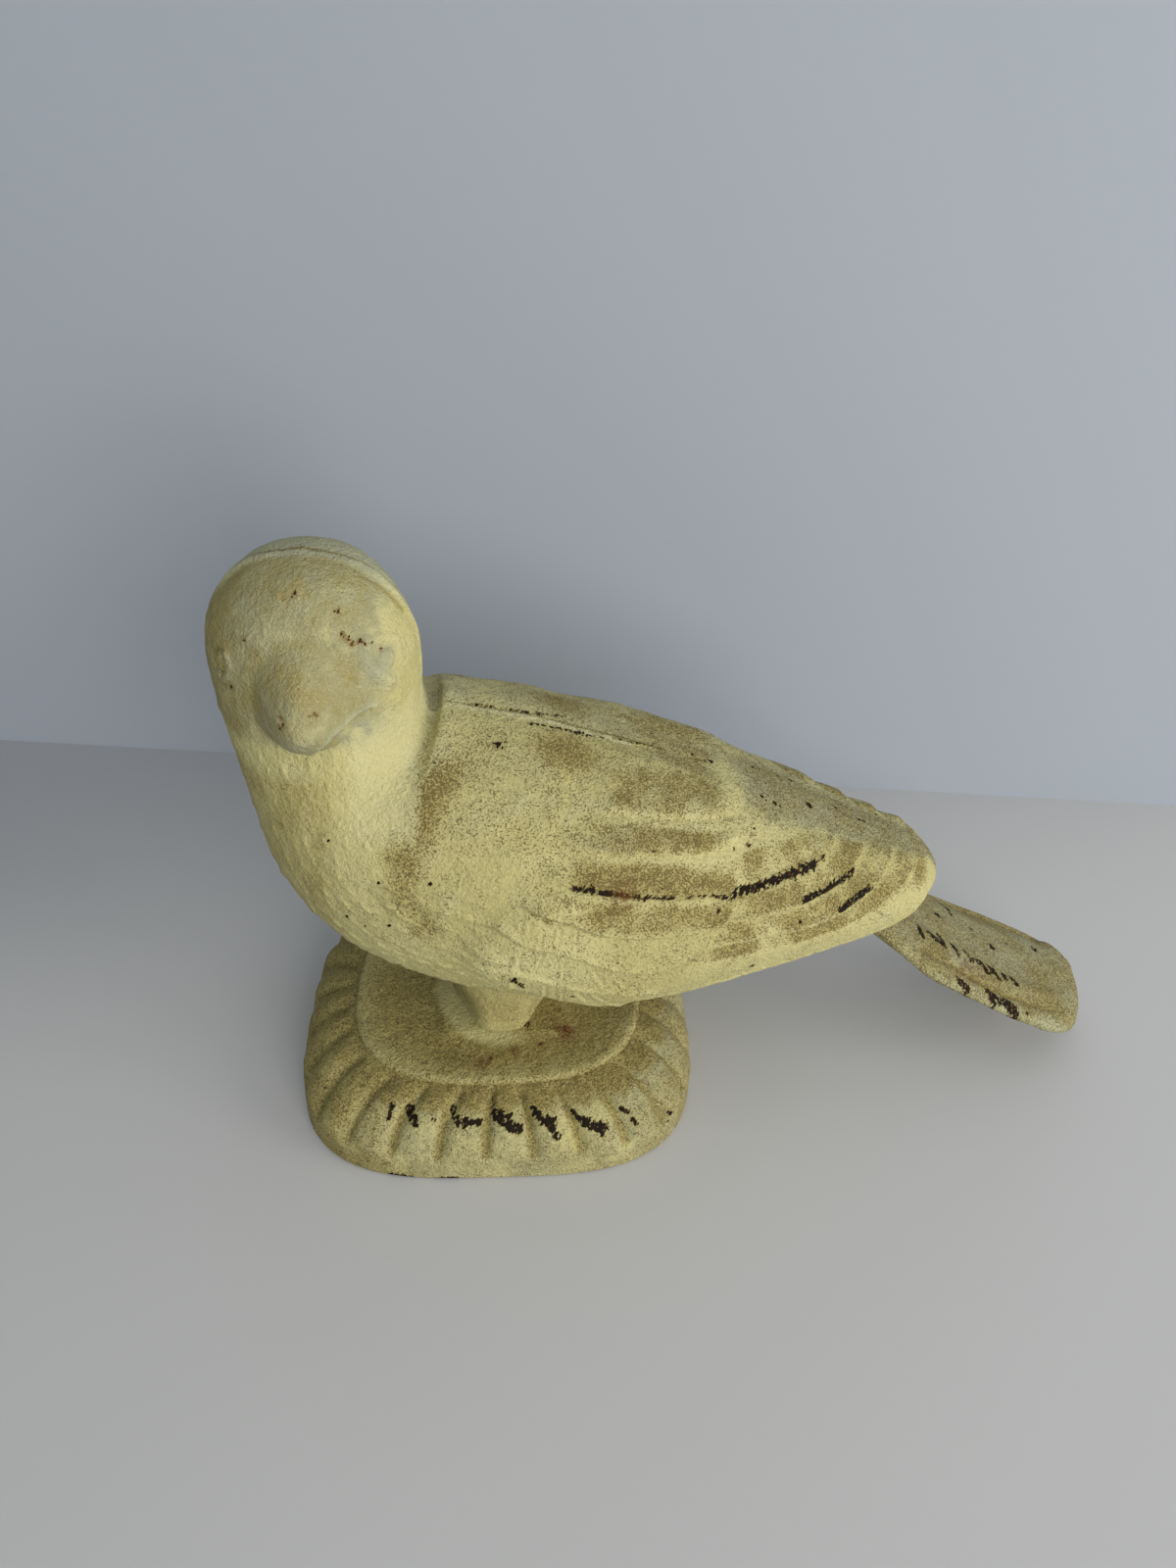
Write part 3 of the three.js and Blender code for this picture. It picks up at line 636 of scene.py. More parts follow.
def stemObject(side):
    # half of the stem, flared at both ends, which goes on into the belly
    depth = stem["depthLeft"] if side < 0 else stem["depthRight"]
    turn = np.linspace(0, math.pi, stem["around"])
    c, s = np.cos(turn), np.sin(turn)
    rings = []
    for f in np.concatenate([np.linspace(0, 0.12, 13), np.linspace(0.14, 1, 40)]):
        flare = f ** 1.2
        z = stem["foot"] + stem["height"] * f
        spread = stem["ledge"] * smooth(0.09, 0.0, f)
        left = stem["low"][0] + (stem["high"][0] - stem["low"][0]) * flare - spread * 0.3
        right = stem["low"][1] + (stem["high"][1] - stem["low"][1]) * flare + spread * 0.4
        taper = 2 - smooth(0, 0.8, f)
        x = (left + right) / 2 + (right - left) / 2 * np.sign(c) * np.abs(c) ** taper
        reach = (depth * 1.1 + spread) * (1 + 0.55 * (taper - 1)) * np.maximum(s, 0) ** taper
        y = side * reach / (1 + (reach / (depth * (1 + 0.12 * flare) + spread)) ** 8) ** 0.125
        ring = np.stack([x, y, np.full_like(x, z)], -1)
        rings.append(np.vstack([ring, [[left, -side * 2, z], [right, -side * 2, z]]]))
    rings = np.array(rings)
    skin = rings[:, :len(turn)]
    n = outwardNormals(skin, skin.mean(axis=1, keepdims=True))
    level = (np.abs(n[..., 2]) < 0.95)[..., None]
    rings[:, :len(turn)] = skin + n * level * castGrain(skin)[..., None] * 1.3
    rings[:, :, 2] = np.maximum(rings[:, :, 2], stem["foot"])
    return ringSkin("stem", rings)


def tailRings(grow, steps, across):
    # sections of the blade, or of a pocket that is larger all round
    rows = np.arange((len(tail["path"]) - 1) * steps + 1) / steps
    v = np.linspace(1, -1, across + 1)
    half = np.sqrt(np.clip(1 - np.abs(v) ** tail["edge"], 0, None)) * (grow + tail["thickness"] / 2)
    rings = []
    for start, z, middle, width in zip(*throughRows(tail["path"], rows)):
        reach = max(width, 0.5) + grow
        level = z + tail["crown"] * (1 - v * v) - tail["thickness"] / 2
        x = np.full_like(v, start if rings else start - grow)
        upper = np.stack([x, middle + reach * v, level + half], -1)
        lower = np.stack([x, middle - reach * v, level[::-1] - half[::-1]], -1)
        rings.append(np.vstack([upper, lower[1:-1]]))
    return np.array(rings)


def tailBlade():
    rings = tailRings(0, tail["steps"], tail["across"])
    n = outwardNormals(rings, rings.mean(axis=1, keepdims=True), closed=True)
    x, y = rings[..., 0], rings[..., 1]
    top = n[..., 2] > 0.2
    lift = -0.75 * bumpAlong(tail["groove"], x, y, 1.5) * smooth(150, 140, x)
    lift += 0.45 * bumpAlong(tail["ridge"], x, y, 1.9)
    lift += 0.25 * bump(y - 4.5, 2.2) + 0.2 * bump(y + 17 - (x - 107) * 0.02, 1.6)
    lift -= (0.45 + 1.2 * smooth(110, 126, x)) * smooth(10.5, 18.5, y)
    lift *= top * smooth(98, 106, x) * smooth(157, 150, x)
    lift += castGrain(rings) * 1.2
    ends = smooth(6, 2, np.minimum(x - tail["path"][0][0], tail["path"][-1][0] - x))
    return ringSkin("tail_blade", rings + n * (lift * (1 - ends))[..., None])


def halfObject(name, side):
    # one half casting: shell and stem, less the hollow, the tang's pocket and the screw's seat
    obj = shellObject(name, side)
    cut(obj, stemObject(side), "UNION")
    cut(obj, hollowObject(side), "DIFFERENCE")
    cut(obj, ringSkin("pocket", tailRings(tail["play"], 4, 16)), "DIFFERENCE")
    if side > 0:
        radius = screw["head"] + screw["play"]
        seat = [(radius, screw["seat"] - screw["play"]), (radius, 60)]
        cut(obj, lathe("seat", seat, (screw["x"], 0, screw["z"]), "Y", 64), "DIFFERENCE")
    # what lies on this side of the middle plane, within a box far larger than the bird
    g, aside, above = body["halfGap"], 200, 300
    near, far = (-aside, -g) if side < 0 else (g, aside)
    cut(obj, boxObject((-aside, near, 10), (aside, far, above)), "INTERSECT")
    print("  ", name, len(obj.data.polygons), "faces")
    return obj


# Node trees

class Nodes:
    # short calls for the nodes of one tree
    def __init__(self, tree):
        self.tree = tree

    def put(self, socket, value):
        if isinstance(value, bpy.types.NodeSocket):
            self.tree.links.new(value, socket)
        elif value is not None:
            socket.default_value = value

    def fill(self, node, inputs):
        for key, value in inputs.items():
            self.put(node.inputs[key], value)

    def node(self, kind, inputs=None, **settings):
        # outputs of a new node with values or links at its inputs
        node = self.tree.nodes.new(kind)
        for name, value in settings.items():
            setattr(node, name, value)
        self.fill(node, inputs or {})
        return node.outputs

    def math(self, operation, a, b=None):
        return self.node("ShaderNodeMath", {0: a, 1: b}, operation=operation)[0]

    def add(self, a, b):
        return self.math("ADD", a, b)

    def less(self, a, b):
        return self.math("SUBTRACT", a, b)

    def times(self, a, b):
        return self.math("MULTIPLY", a, b)

    def stirred(self, value, noise, amount):
        # the value moved up and down by a noise
        return self.add(value, self.times(self.less(noise, 0.5), amount))


# Base: a node tree cuts the flutes into a smooth skirt

base = {
    "length": 100, "width": 88, "squareness": 3.3,
    "plateLength": 73, "plateWidth": 62, "plateSquareness": 2.7,
    "height": 20.5, "proud": 1.4, "lip": 6.0, "wall": 4.5,
    "flutes": 28, "fluteDepth": 1.25, "sharpness": 12.0, "bulge": 0.75, "shift": 0.24, "perFlute": 26,
    "boltX": 1, "bore": 3.3, "dish": 0.45,
    # where the stem stands: middle along X and half sizes
    "stemMiddle": 1.4, "stemHalf": (14, 15),
    # inset and drop of the plate's rounded rim, from outside in
    "rim": [(0, 1.25), (0.1, 1.0), (0.35, 0.7), (0.8, 0.4), (1.4, 0.18), (2.2, 0.04), (3.0, 0)],
}


def superellipse(length, width, squareness, turn):
    c, s = np.cos(turn), np.sin(turn)
    bend = 2 / squareness
    return np.stack([length / 2 * np.sign(c) * np.abs(c) ** bend,
                     width / 2 * np.sign(s) * np.abs(s) ** bend], -1)


def footOutline(turn):
    return superellipse(base["length"], base["width"], base["squareness"], turn)


def plateOutline(turn, inset=0):
    length, width = base["plateLength"] - 2 * inset, base["plateWidth"] - 2 * inset
    return superellipse(length, width, base["plateSquareness"], turn)


def evenTurns(count):
    # turn angles that share the foot's outline evenly
    fine = np.linspace(0, 2 * math.pi, 5761)
    along = np.concatenate([[0], np.cumsum(np.linalg.norm(np.diff(footOutline(fine), axis=0), axis=1))])
    return np.interp(np.arange(count) / count * along[-1], along, fine)


def skirtRing(turn, share, inset, z):
    # ring at this share of the way from the plate's outline to the foot's, moved in by an inset
    plate = plateOutline(turn)
    p = plate + (footOutline(turn) - plate) * share
    p = p * (1 - inset / np.linalg.norm(p, axis=1, keepdims=True))
    return np.column_stack([p, np.full(len(turn), z)])


def superRadius(x, y):
    # size of the plate-shaped outline through a point, as a half width
    k = base["plateSquareness"]
    stretch = base["plateWidth"] / base["plateLength"]
    return (np.abs(x * stretch) ** k + np.abs(y) ** k) ** (1 / k)


def skirtObject():
    # closed skin of base and plate, with each point's place around and how far flutes reach it
    b = base
    count = b["flutes"] * b["perFlute"]
    turn = evenTurns(count)
    shoulder = b["height"] - b["proud"]
    profile = [(1, 0.9, 0.0, 0), (1, 0.45, 0.15, 0), (1, 0.1, 0.6, 0), (1, 0.0, 1.1, 0)]
    profile += [(1, 0.12, z, 0) for z in np.linspace(1.7, b["lip"] - 0.5, 9)]
    for a in np.linspace(0, math.pi / 2, 44):
        z = b["lip"] + (shoulder - b["lip"]) * math.sin(a)
        reach = float(smooth(0.0, 0.3, a)) * (0.35 + 0.65 * math.cos(a) ** 0.5) * float(smooth(1.57, 1.4, a))
        profile.append((math.cos(a), 0.12 * float(smooth(0.1, 0, a)), z, reach))
    rim = [(inset, b["height"] - drop) for inset, drop in b["rim"]]
    rim += [(inset, b["height"]) for inset in np.linspace(3.5, 29.0, 44)] + [(30.6, b["height"])]
    rings = [skirtRing(turn, share, inset, z) for share, inset, z, reach in profile]
    rings += [np.column_stack([plateOutline(turn, inset), np.full(count, z)]) for inset, z in rim]
    rings = np.array(rings)
    x, y, z = rings[..., 0], rings[..., 1], rings[..., 2]
    n = outwardNormals(rings, np.array([0, 0, 5]), closed=True)
    onPlate = z > b["height"] - 0.1
    halfX, halfY = b["stemHalf"]
    away = np.hypot(np.maximum(np.abs(x - b["stemMiddle"]) - halfX, 0), np.maximum(np.abs(y) - halfY, 0))
    inner = b["plateWidth"] / 2 - superRadius(x, y)
    grain = castGrain(rings) * 1.3
    grain = np.where(onPlate, (grain - 0.26) * smooth(0, 3, away), grain * smooth(0.6, 1.6, z))
    dish = -b["dish"] * smooth(2.4, 8, inner) * smooth(0.5, 4, away) * onPlate
    rings += n * np.minimum(grain + dish, np.where(z > b["height"] - 0.3, 0, 9))[..., None]
    obj = ringSkin("base_hull", rings)
    storeMark(obj.data, "around", np.tile(np.arange(count) / count, len(rings)))
    storeMark(obj.data, "reach", np.repeat([row[3] for row in profile] + [0] * len(rim), count))
    return obj


def fluteTree(material):
    # moves the skirt in along its normals: a groove for each flute and a hollow between two ribs
    group = bpy.data.node_groups.new("flutes", "GeometryNodeTree")
    group.interface.new_socket("Geometry", in_out="INPUT", socket_type="NodeSocketGeometry")
    for name in ("Flutes", "Shift", "Depth", "Sharpness", "Bulge"):
        group.interface.new_socket(name, in_out="INPUT", socket_type="NodeSocketFloat")
    group.interface.new_socket("Geometry", in_out="OUTPUT", socket_type="NodeSocketGeometry")
    g = Nodes(group)
    given = g.node("NodeGroupInput")
    around, reach = (g.node("GeometryNodeInputNamedAttribute", {"Name": name}, data_type="FLOAT")["Attribute"]
                     for name in ("around", "reach"))
    count = g.add(g.times(around, given["Flutes"]), given["Shift"])
    wave = g.math("ABSOLUTE", g.math("COSINE", g.times(count, math.pi)))
    groove = g.times(g.math("POWER", wave, given["Sharpness"]), given["Depth"])
    hollow = g.times(g.times(wave, wave), given["Bulge"])
    inward = g.times(g.times(g.add(groove, hollow), reach), -0.001)
    normal = g.node("GeometryNodeInputNormal")[0]
    offset = g.node("ShaderNodeVectorMath", {0: normal, "Scale": inward}, operation="SCALE")
    moved = g.node("GeometryNodeSetPosition", {"Geometry": given["Geometry"], "Offset": offset[0]})
    real = g.node("GeometryNodeRealizeInstances", {"Geometry": moved[0]})
    painted = g.node("GeometryNodeSetMaterial", {"Geometry": real[0], "Material": material})
    g.node("NodeGroupOutput", {"Geometry": painted[0]})
    return group


def baseObject(material):
    b = base
    obj = skirtObject()
    tidyMesh(obj)
    tree = fluteTree(material)
    modifier = obj.modifiers.new("flutes", "NODES")
    modifier.node_group = tree
    sizes = {"Flutes": b["flutes"], "Shift": b["shift"], "Depth": b["fluteDepth"],
             "Sharpness": b["sharpness"], "Bulge": b["bulge"]}
    for item in tree.interface.items_tree:
        if item.in_out == "INPUT" and item.name in sizes:
            modifier[item.identifier] = float(sizes[item.name])
    applied(obj, modifier)
    roof = b["height"] - b["proud"] - b["wall"]
    turn = evenTurns(240)
    levels = ((1, -1), (1, b["lip"]), (0.9, roof * 0.62), (0.66, roof * 0.86), (0.3, roof))
    rings = [skirtRing(turn, share, b["wall"], z) for share, z in levels]
    cut(obj, ringSkin("hollow", rings), "DIFFERENCE")
    drill(obj, b["boltX"], b["bore"], 10, 30)
    print("   base", len(obj.data.polygons), "faces")
    return obj


# Fasteners

bolt = {
    "x": 1, "radius": 3, "across": 10, "headZ": 30, "headHeight": 4, "end": 4.4, "pitch": 1.0,
    "threadTop": 15.9, "threadDepth": 0.45,
    "nutZ": 7.4, "nutHeight": 5, "washerZ": 12.7, "washerHeight": 1.6, "washerRadius": 8, "washerBore": 3.3,
}


def threadRadius(radius, height, turn):
    # a helical thread below the plain shank, drawn by moving the skin in and out
    wave = np.abs(((height / bolt["pitch"] - turn / (2 * math.pi)) % 1) - 0.5) * 2
    return radius - bolt["threadDepth"] * smooth(0.15, 0.85, wave) * (height < bolt["threadTop"])


def hexRadius(radius, height, turn):
    # flats of a hexagon, whose corners end at the radius
    inSixth = np.abs((turn % (math.pi / 3)) - math.pi / 6)
    return np.minimum(bolt["across"] / 2 / np.cos(inSixth), radius)


def screwObject():
    s = screw
    top = s["seat"] + s["height"]
    profile = [(s["shank"] - 0.5, -s["reach"]), (s["shank"], -s["reach"] + 0.5), (s["shank"], s["seat"]),
               (s["head"] - 0.25, s["seat"]), (s["head"], s["seat"] + 0.25), (s["head"], top - 0.9)]
    for a in np.linspace(0, math.pi / 2, 9)[1:]:
        profile.append((s["head"] - 0.9 + 0.9 * math.cos(a), top - 0.9 + 0.7 * math.sin(a)))
    profile += [(2.2, top - 0.05), (0.8, top)]
    obj = lathe("screw", profile, (s["x"], 0, s["z"]), "Y")
    half = s["slotWidth"] / 2
    slot = boxObject((s["x"] - 6, top - s["slotDepth"], s["z"] - half), (s["x"] + 6, top + 2, s["z"] + half))
    lean = Matrix.Rotation(s["slotLean"], 4, "Y")
    pivot = Vector(((s["x"] + toFrame[0]) / 1000, 0, s["z"] / 1000))
    slot.data.transform(Matrix.Translation(pivot) @ lean @ Matrix.Translation(-pivot))
    cut(obj, slot, "DIFFERENCE")
    return obj


def boltObject():
    b = bolt
    r = b["radius"] - 0.05
    shank = [(r - 0.5, b["end"])] + [(r, z) for z in np.arange(b["end"] + 0.4, 16, 0.1)]
    shank += [(r, 16), (r, b["headZ"] + 1)]
    obj = lathe("bolt", shank, (b["x"], 0, 0), "Z", 64, threadRadius)
    corner = b["across"] / 2 / math.cos(math.pi / 6)
    top = b["headZ"] + b["headHeight"]
    head = [(corner, b["headZ"]), (corner, top - 0.6), (b["across"] / 2 - 0.1, top)]
    cut(obj, lathe("head", head, (b["x"], 0, 0), "Z", 96, hexRadius), "UNION")
    return obj


def nutObject():
    b = bolt
    corner = b["across"] / 2 / math.cos(math.pi / 6)
    flat = b["across"] / 2 - 0.15
    low, high = b["nutZ"], b["nutZ"] + b["nutHeight"]
    profile = [(flat, low), (corner, low + 0.6), (corner, high - 0.6), (flat, high)]
    obj = lathe("nut", profile, (b["x"], 0, 0), "Z", 96, hexRadius)
    bore = [(b["radius"] + 0.7, low - 1), (b["radius"] + 0.7, low), (b["radius"] + 0.12, low + 0.6),
            (b["radius"] + 0.12, high + 1)]
    cut(obj, lathe("bore", bore, (b["x"], 0, 0), "Z", 64), "DIFFERENCE")
    return obj


def washerObject():
    b = bolt
    r = b["washerRadius"]
    low, high = b["washerZ"], b["washerZ"] + b["washerHeight"]
    profile = [(r - 0.3, low), (r, low + 0.3), (r, high - 0.3), (r - 0.3, high)]
    obj = lathe("washer", profile, (b["x"], 0, 0), "Z", 96)
    drill(obj, b["x"], b["washerBore"], low - 1, high + 1)
    return obj


# Wear of the paint, soil, and painted light and shade, as marks that the materials read

wear = {
    # half width and path in the side view of each place where the paint is gone
    "chips": [
        (0.75, [[17.4, 84.8], [20.9, 84.1]]), (0.7, [[22.8, 83.5], [30, 81.2], [37.6, 79.5]]),
        (0.4, [[41.3, 79.2], [44.8, 78.5]]), (0.6, [[46.5, 78], [49.6, 77]]),
        (1.0, [[51.7, 77], [60, 76.8], [70.8, 76.6]]), (0.7, [[72.8, 76.8], [73.1, 76.7]]),
        (0.8, [[68.6, 71.3], [73.5, 71.6], [80.6, 72.3]]), (0.7, [[77.9, 66.6], [81.1, 67.6], [85, 68.3]]),
    ],
    # single spots in space and their radius
    "spots": [
        [24.2, -26.8, 90, 0.3], [34, -25.2, 88, 0.45], [34.2, -25, 87.2, 0.3], [42.9, -23.5, 85.8, 0.4],
        [52, -20.3, 84.2, 0.45], [55.1, -18.4, 83.4, 0.6], [57, -15.1, 85, 0.4], [53.8, -5.1, 89.1, 0.6],
        [60, -5.4, 86.5, 0.5], [60.9, -6, 85.8, 0.35], [63.3, -6.1, 85, 0.55], [64.3, -6.4, 84.5, 0.4],
        [61.8, -4.6, 85.8, 0.3], [72.1, -2.1, 81, 0.75], [79.9, 1.7, 77, 0.35], [85.6, 0.2, 74.6, 0.35],
        [86.8, 0.2, 74, 0.4], [48, -29.4, 74.6, 0.55], [67.8, -25, 66.6, 0.35], [1.6, -10.9, 105.1, 0.75],
        [0.2, -9.3, 105.8, 0.35], [2.9, -11.8, 104.5, 0.4], [3.2, -10.2, 105, 0.35],
        [-0.4, -11.6, 105.4, 0.35], [37.8, -11.9, 94, 0.4], [40.4, 0.8, 94.6, 0.3],
        [48.9, 1, 91.4, 0.6], [47.4, 0.4, 92, 0.35],
        [-11.8, -32.5, 86, 0.45], [-7, -14, 103.4, 0.3], [53.6, -5.9, 89.1, 0.45], [44.8, 1.2, 93, 0.4],
    ],
    # spots in the side view, on the wing and breast and then on the face
    "flatSpots": [
        [-32.1, 93.2, 0.35], [-22.3, 85.6, 0.3], [-21, 75, 0.4], [-26.1, 73.1, 0.4], [-29.9, 74.8, 0.4],
        [4.4, 62, 0.7], [2.4, 63.2, 0.4], [6.1, 60.2, 0.5], [5.2, 60.6, 0.4], [17.4, 54.2, 0.4],
        [58.2, 54.6, 0.5], [26.5, 66.6, 0.3], [6.4, 59.2, 0.4],
    ],
    "faceSpots": [
        [-26.2, 134.2, 0.4], [-25.5, 133.4, 0.45], [-24.8, 132.5, 0.35], [-24.3, 131.8, 0.4],
        [-23.3, 132.4, 0.45], [-22.4, 131.9, 0.3], [-21.2, 131.6, 0.25], [-27.3, 137.9, 0.35],
        [-26.8, 137.5, 0.3], [-36.6, 140.2, 0.35], [-35.2, 140.6, 0.25], [-34.6, 140.9, 0.25],
        [-44.2, 133.2, 0.3], [-48.6, 122.6, 0.5], [-37.3, 122.9, 0.45], [-36.9, 122, 0.35],
        [-37.6, 121.2, 0.35], [-31.5, 123.4, 0.4], [-30.9, 123, 0.3], [-19.8, 129.2, 0.25],
        [-17.9, 122.1, 0.25], [-28.3, 117.2, 0.25],
    ],
    # worn marks beside the seam on the back, seen from above
    "seam": [
        (0.28, [[-4.6, 0.5], [0.7, 0.6]]), (0.3, [[2.5, 0.9], [8.4, 0.6]]), (0.4, [[9.6, 1], [16.2, 2.4]]),
        (0.4, [[8.3, -3.5], [16, -2.8], [20, -1.9]]), (0.45, [[17, -3], [24, -2]]),
        (0.3, [[26.3, -1.2], [35.3, 0.2]]),
    ],
    # long stains in the side view: along the nape, then strength, patchiness, half width and path on the wing
    "nape": [[-7, 108], [-12.5, 100], [-17.5, 92], [-17.5, 84], [-14, 76]],
    "stains": [
        (0.9, 0, 2.2, [[19, 87], [30, 84], [40, 82], [50, 79.5]]),
        (0.6, 0.5, 1.8, [[12, 79], [24, 79], [38, 76.5]]),
    ],
    # worn marks along the front of the base, in the side view
    "base": [
        (0.45, [[-24.6, 17.2], [-25.4, 15.6]]), (0.6, [[-20.9, 16], [-18.9, 15.8]]),
        (0.3, [[-15, 16.2], [-14.6, 16]]), (0.65, [[-10, 16.4], [-7.6, 15.8]]),
        (0.5, [[-7, 16.2], [-3.9, 15.7]]), (0.75, [[-0.4, 16.6], [1.6, 16.2], [3.6, 14.9], [5.4, 14.2]]),
        (0.45, [[-0.6, 17], [3.2, 16.6]]), (0.75, [[8.8, 16.8], [10.8, 16], [13.4, 15.4]]),
        (0.55, [[12.2, 15.4], [14.4, 12.9]]), (0.5, [[17.9, 16.2], [20.3, 14.9]]),
        (0.75, [[20.3, 14.9], [25.4, 13.4]]), (0.45, [[24, 14.4], [25.2, 11.9]]),
        (0.4, [[29.6, 15.2], [31.3, 14.5]]), (0.45, [[32.4, 13], [33.4, 12]]),
        (0.3, [[41.6, 9.2], [42.6, 8.2]]),
    ],
    # along X and Y, with their radius
    "plateRust": [
        [-3.4, -25.4, 1.8], [-1.7, -23.7, 0.9], [4, -21.9, 1.4], [10.5, -19.5, 1.3], [16.9, -15.8, 3.2],
    ],
    "plateSpots": [[7.4, -14, 0.8]],
    "tailPatches": [
        (0.9, [[114.1, -15.6], [115.8, -16.4]]), (1.1, [[122.7, -14.9], [123.5, -16.8]]),
        (0.8, [[124.2, -16], [125.7, -16.6]]), (1.2, [[127.3, -16.3], [129.4, -17.6]]),
        (0.5, [[118.8, 14], [119.8, 12.8], [120, 9.6]]),
    ],
    "tailSpots": [[114.6, 6.2, 0.8], [129.8, 2.3, 0.9], [146.6, 9.9, 0.9], [136.2, 6.7, 0.5],
                  [125.1, 6.7, 0.5], [133.4, -17, 0.5]],
}


def wornAlong(paths, x, z):
    # 1 on a worn path, falling to 0 beside it
    best = np.zeros(np.shape(x))
    for width, path in paths:
        best = np.maximum(best, np.clip(1.5 - distanceTo(path, x, z)[0] / width * 0.65, 0, 1))
    return best


def spotted(spots, *place):
    # 1 on a spot, falling to 0 beside it, for spots given in as many directions as the place has
    best = np.zeros(np.shape(place[0]))
    for *centre, radius in spots:
        d = np.sqrt(sum((v - c) ** 2 for v, c in zip(place, centre)))
        best = np.maximum(best, np.clip(1.5 - d / radius * 0.66, 0, 1))
    return best


def halfSoilAndShade(x, y, z, patchy, trough):
    # soil that lies in the nape and on the back, and soil with painted shade in the troughs between the
    # feathers
    start = 0.95 - 0.35 * smooth(95, 80, z)
    marks = [start * bumpAlong(wear["nape"], x, z, 5) * smooth(108, 103, z)]
    marks.append(0.85 * roundBump((x - 16) / 9, (np.abs(y) - 9) / 7, 1) * (z > 92))
    inTrough = 0.75 - 0.06 * smooth(50, 60, x) + 0.34 * patchy
    marks.append(trough * inTrough * smooth(52, 57, z + 0.05 * x))
    for strength, patches, width, path in wear["stains"]:
        marks.append((strength + patches * patchy) * bumpAlong(path, x, z, width))
    marks.append(0.8 * roundBump(x - 99.5, (z - 67) / 1.4, 3))
    return np.maximum.reduce(marks)


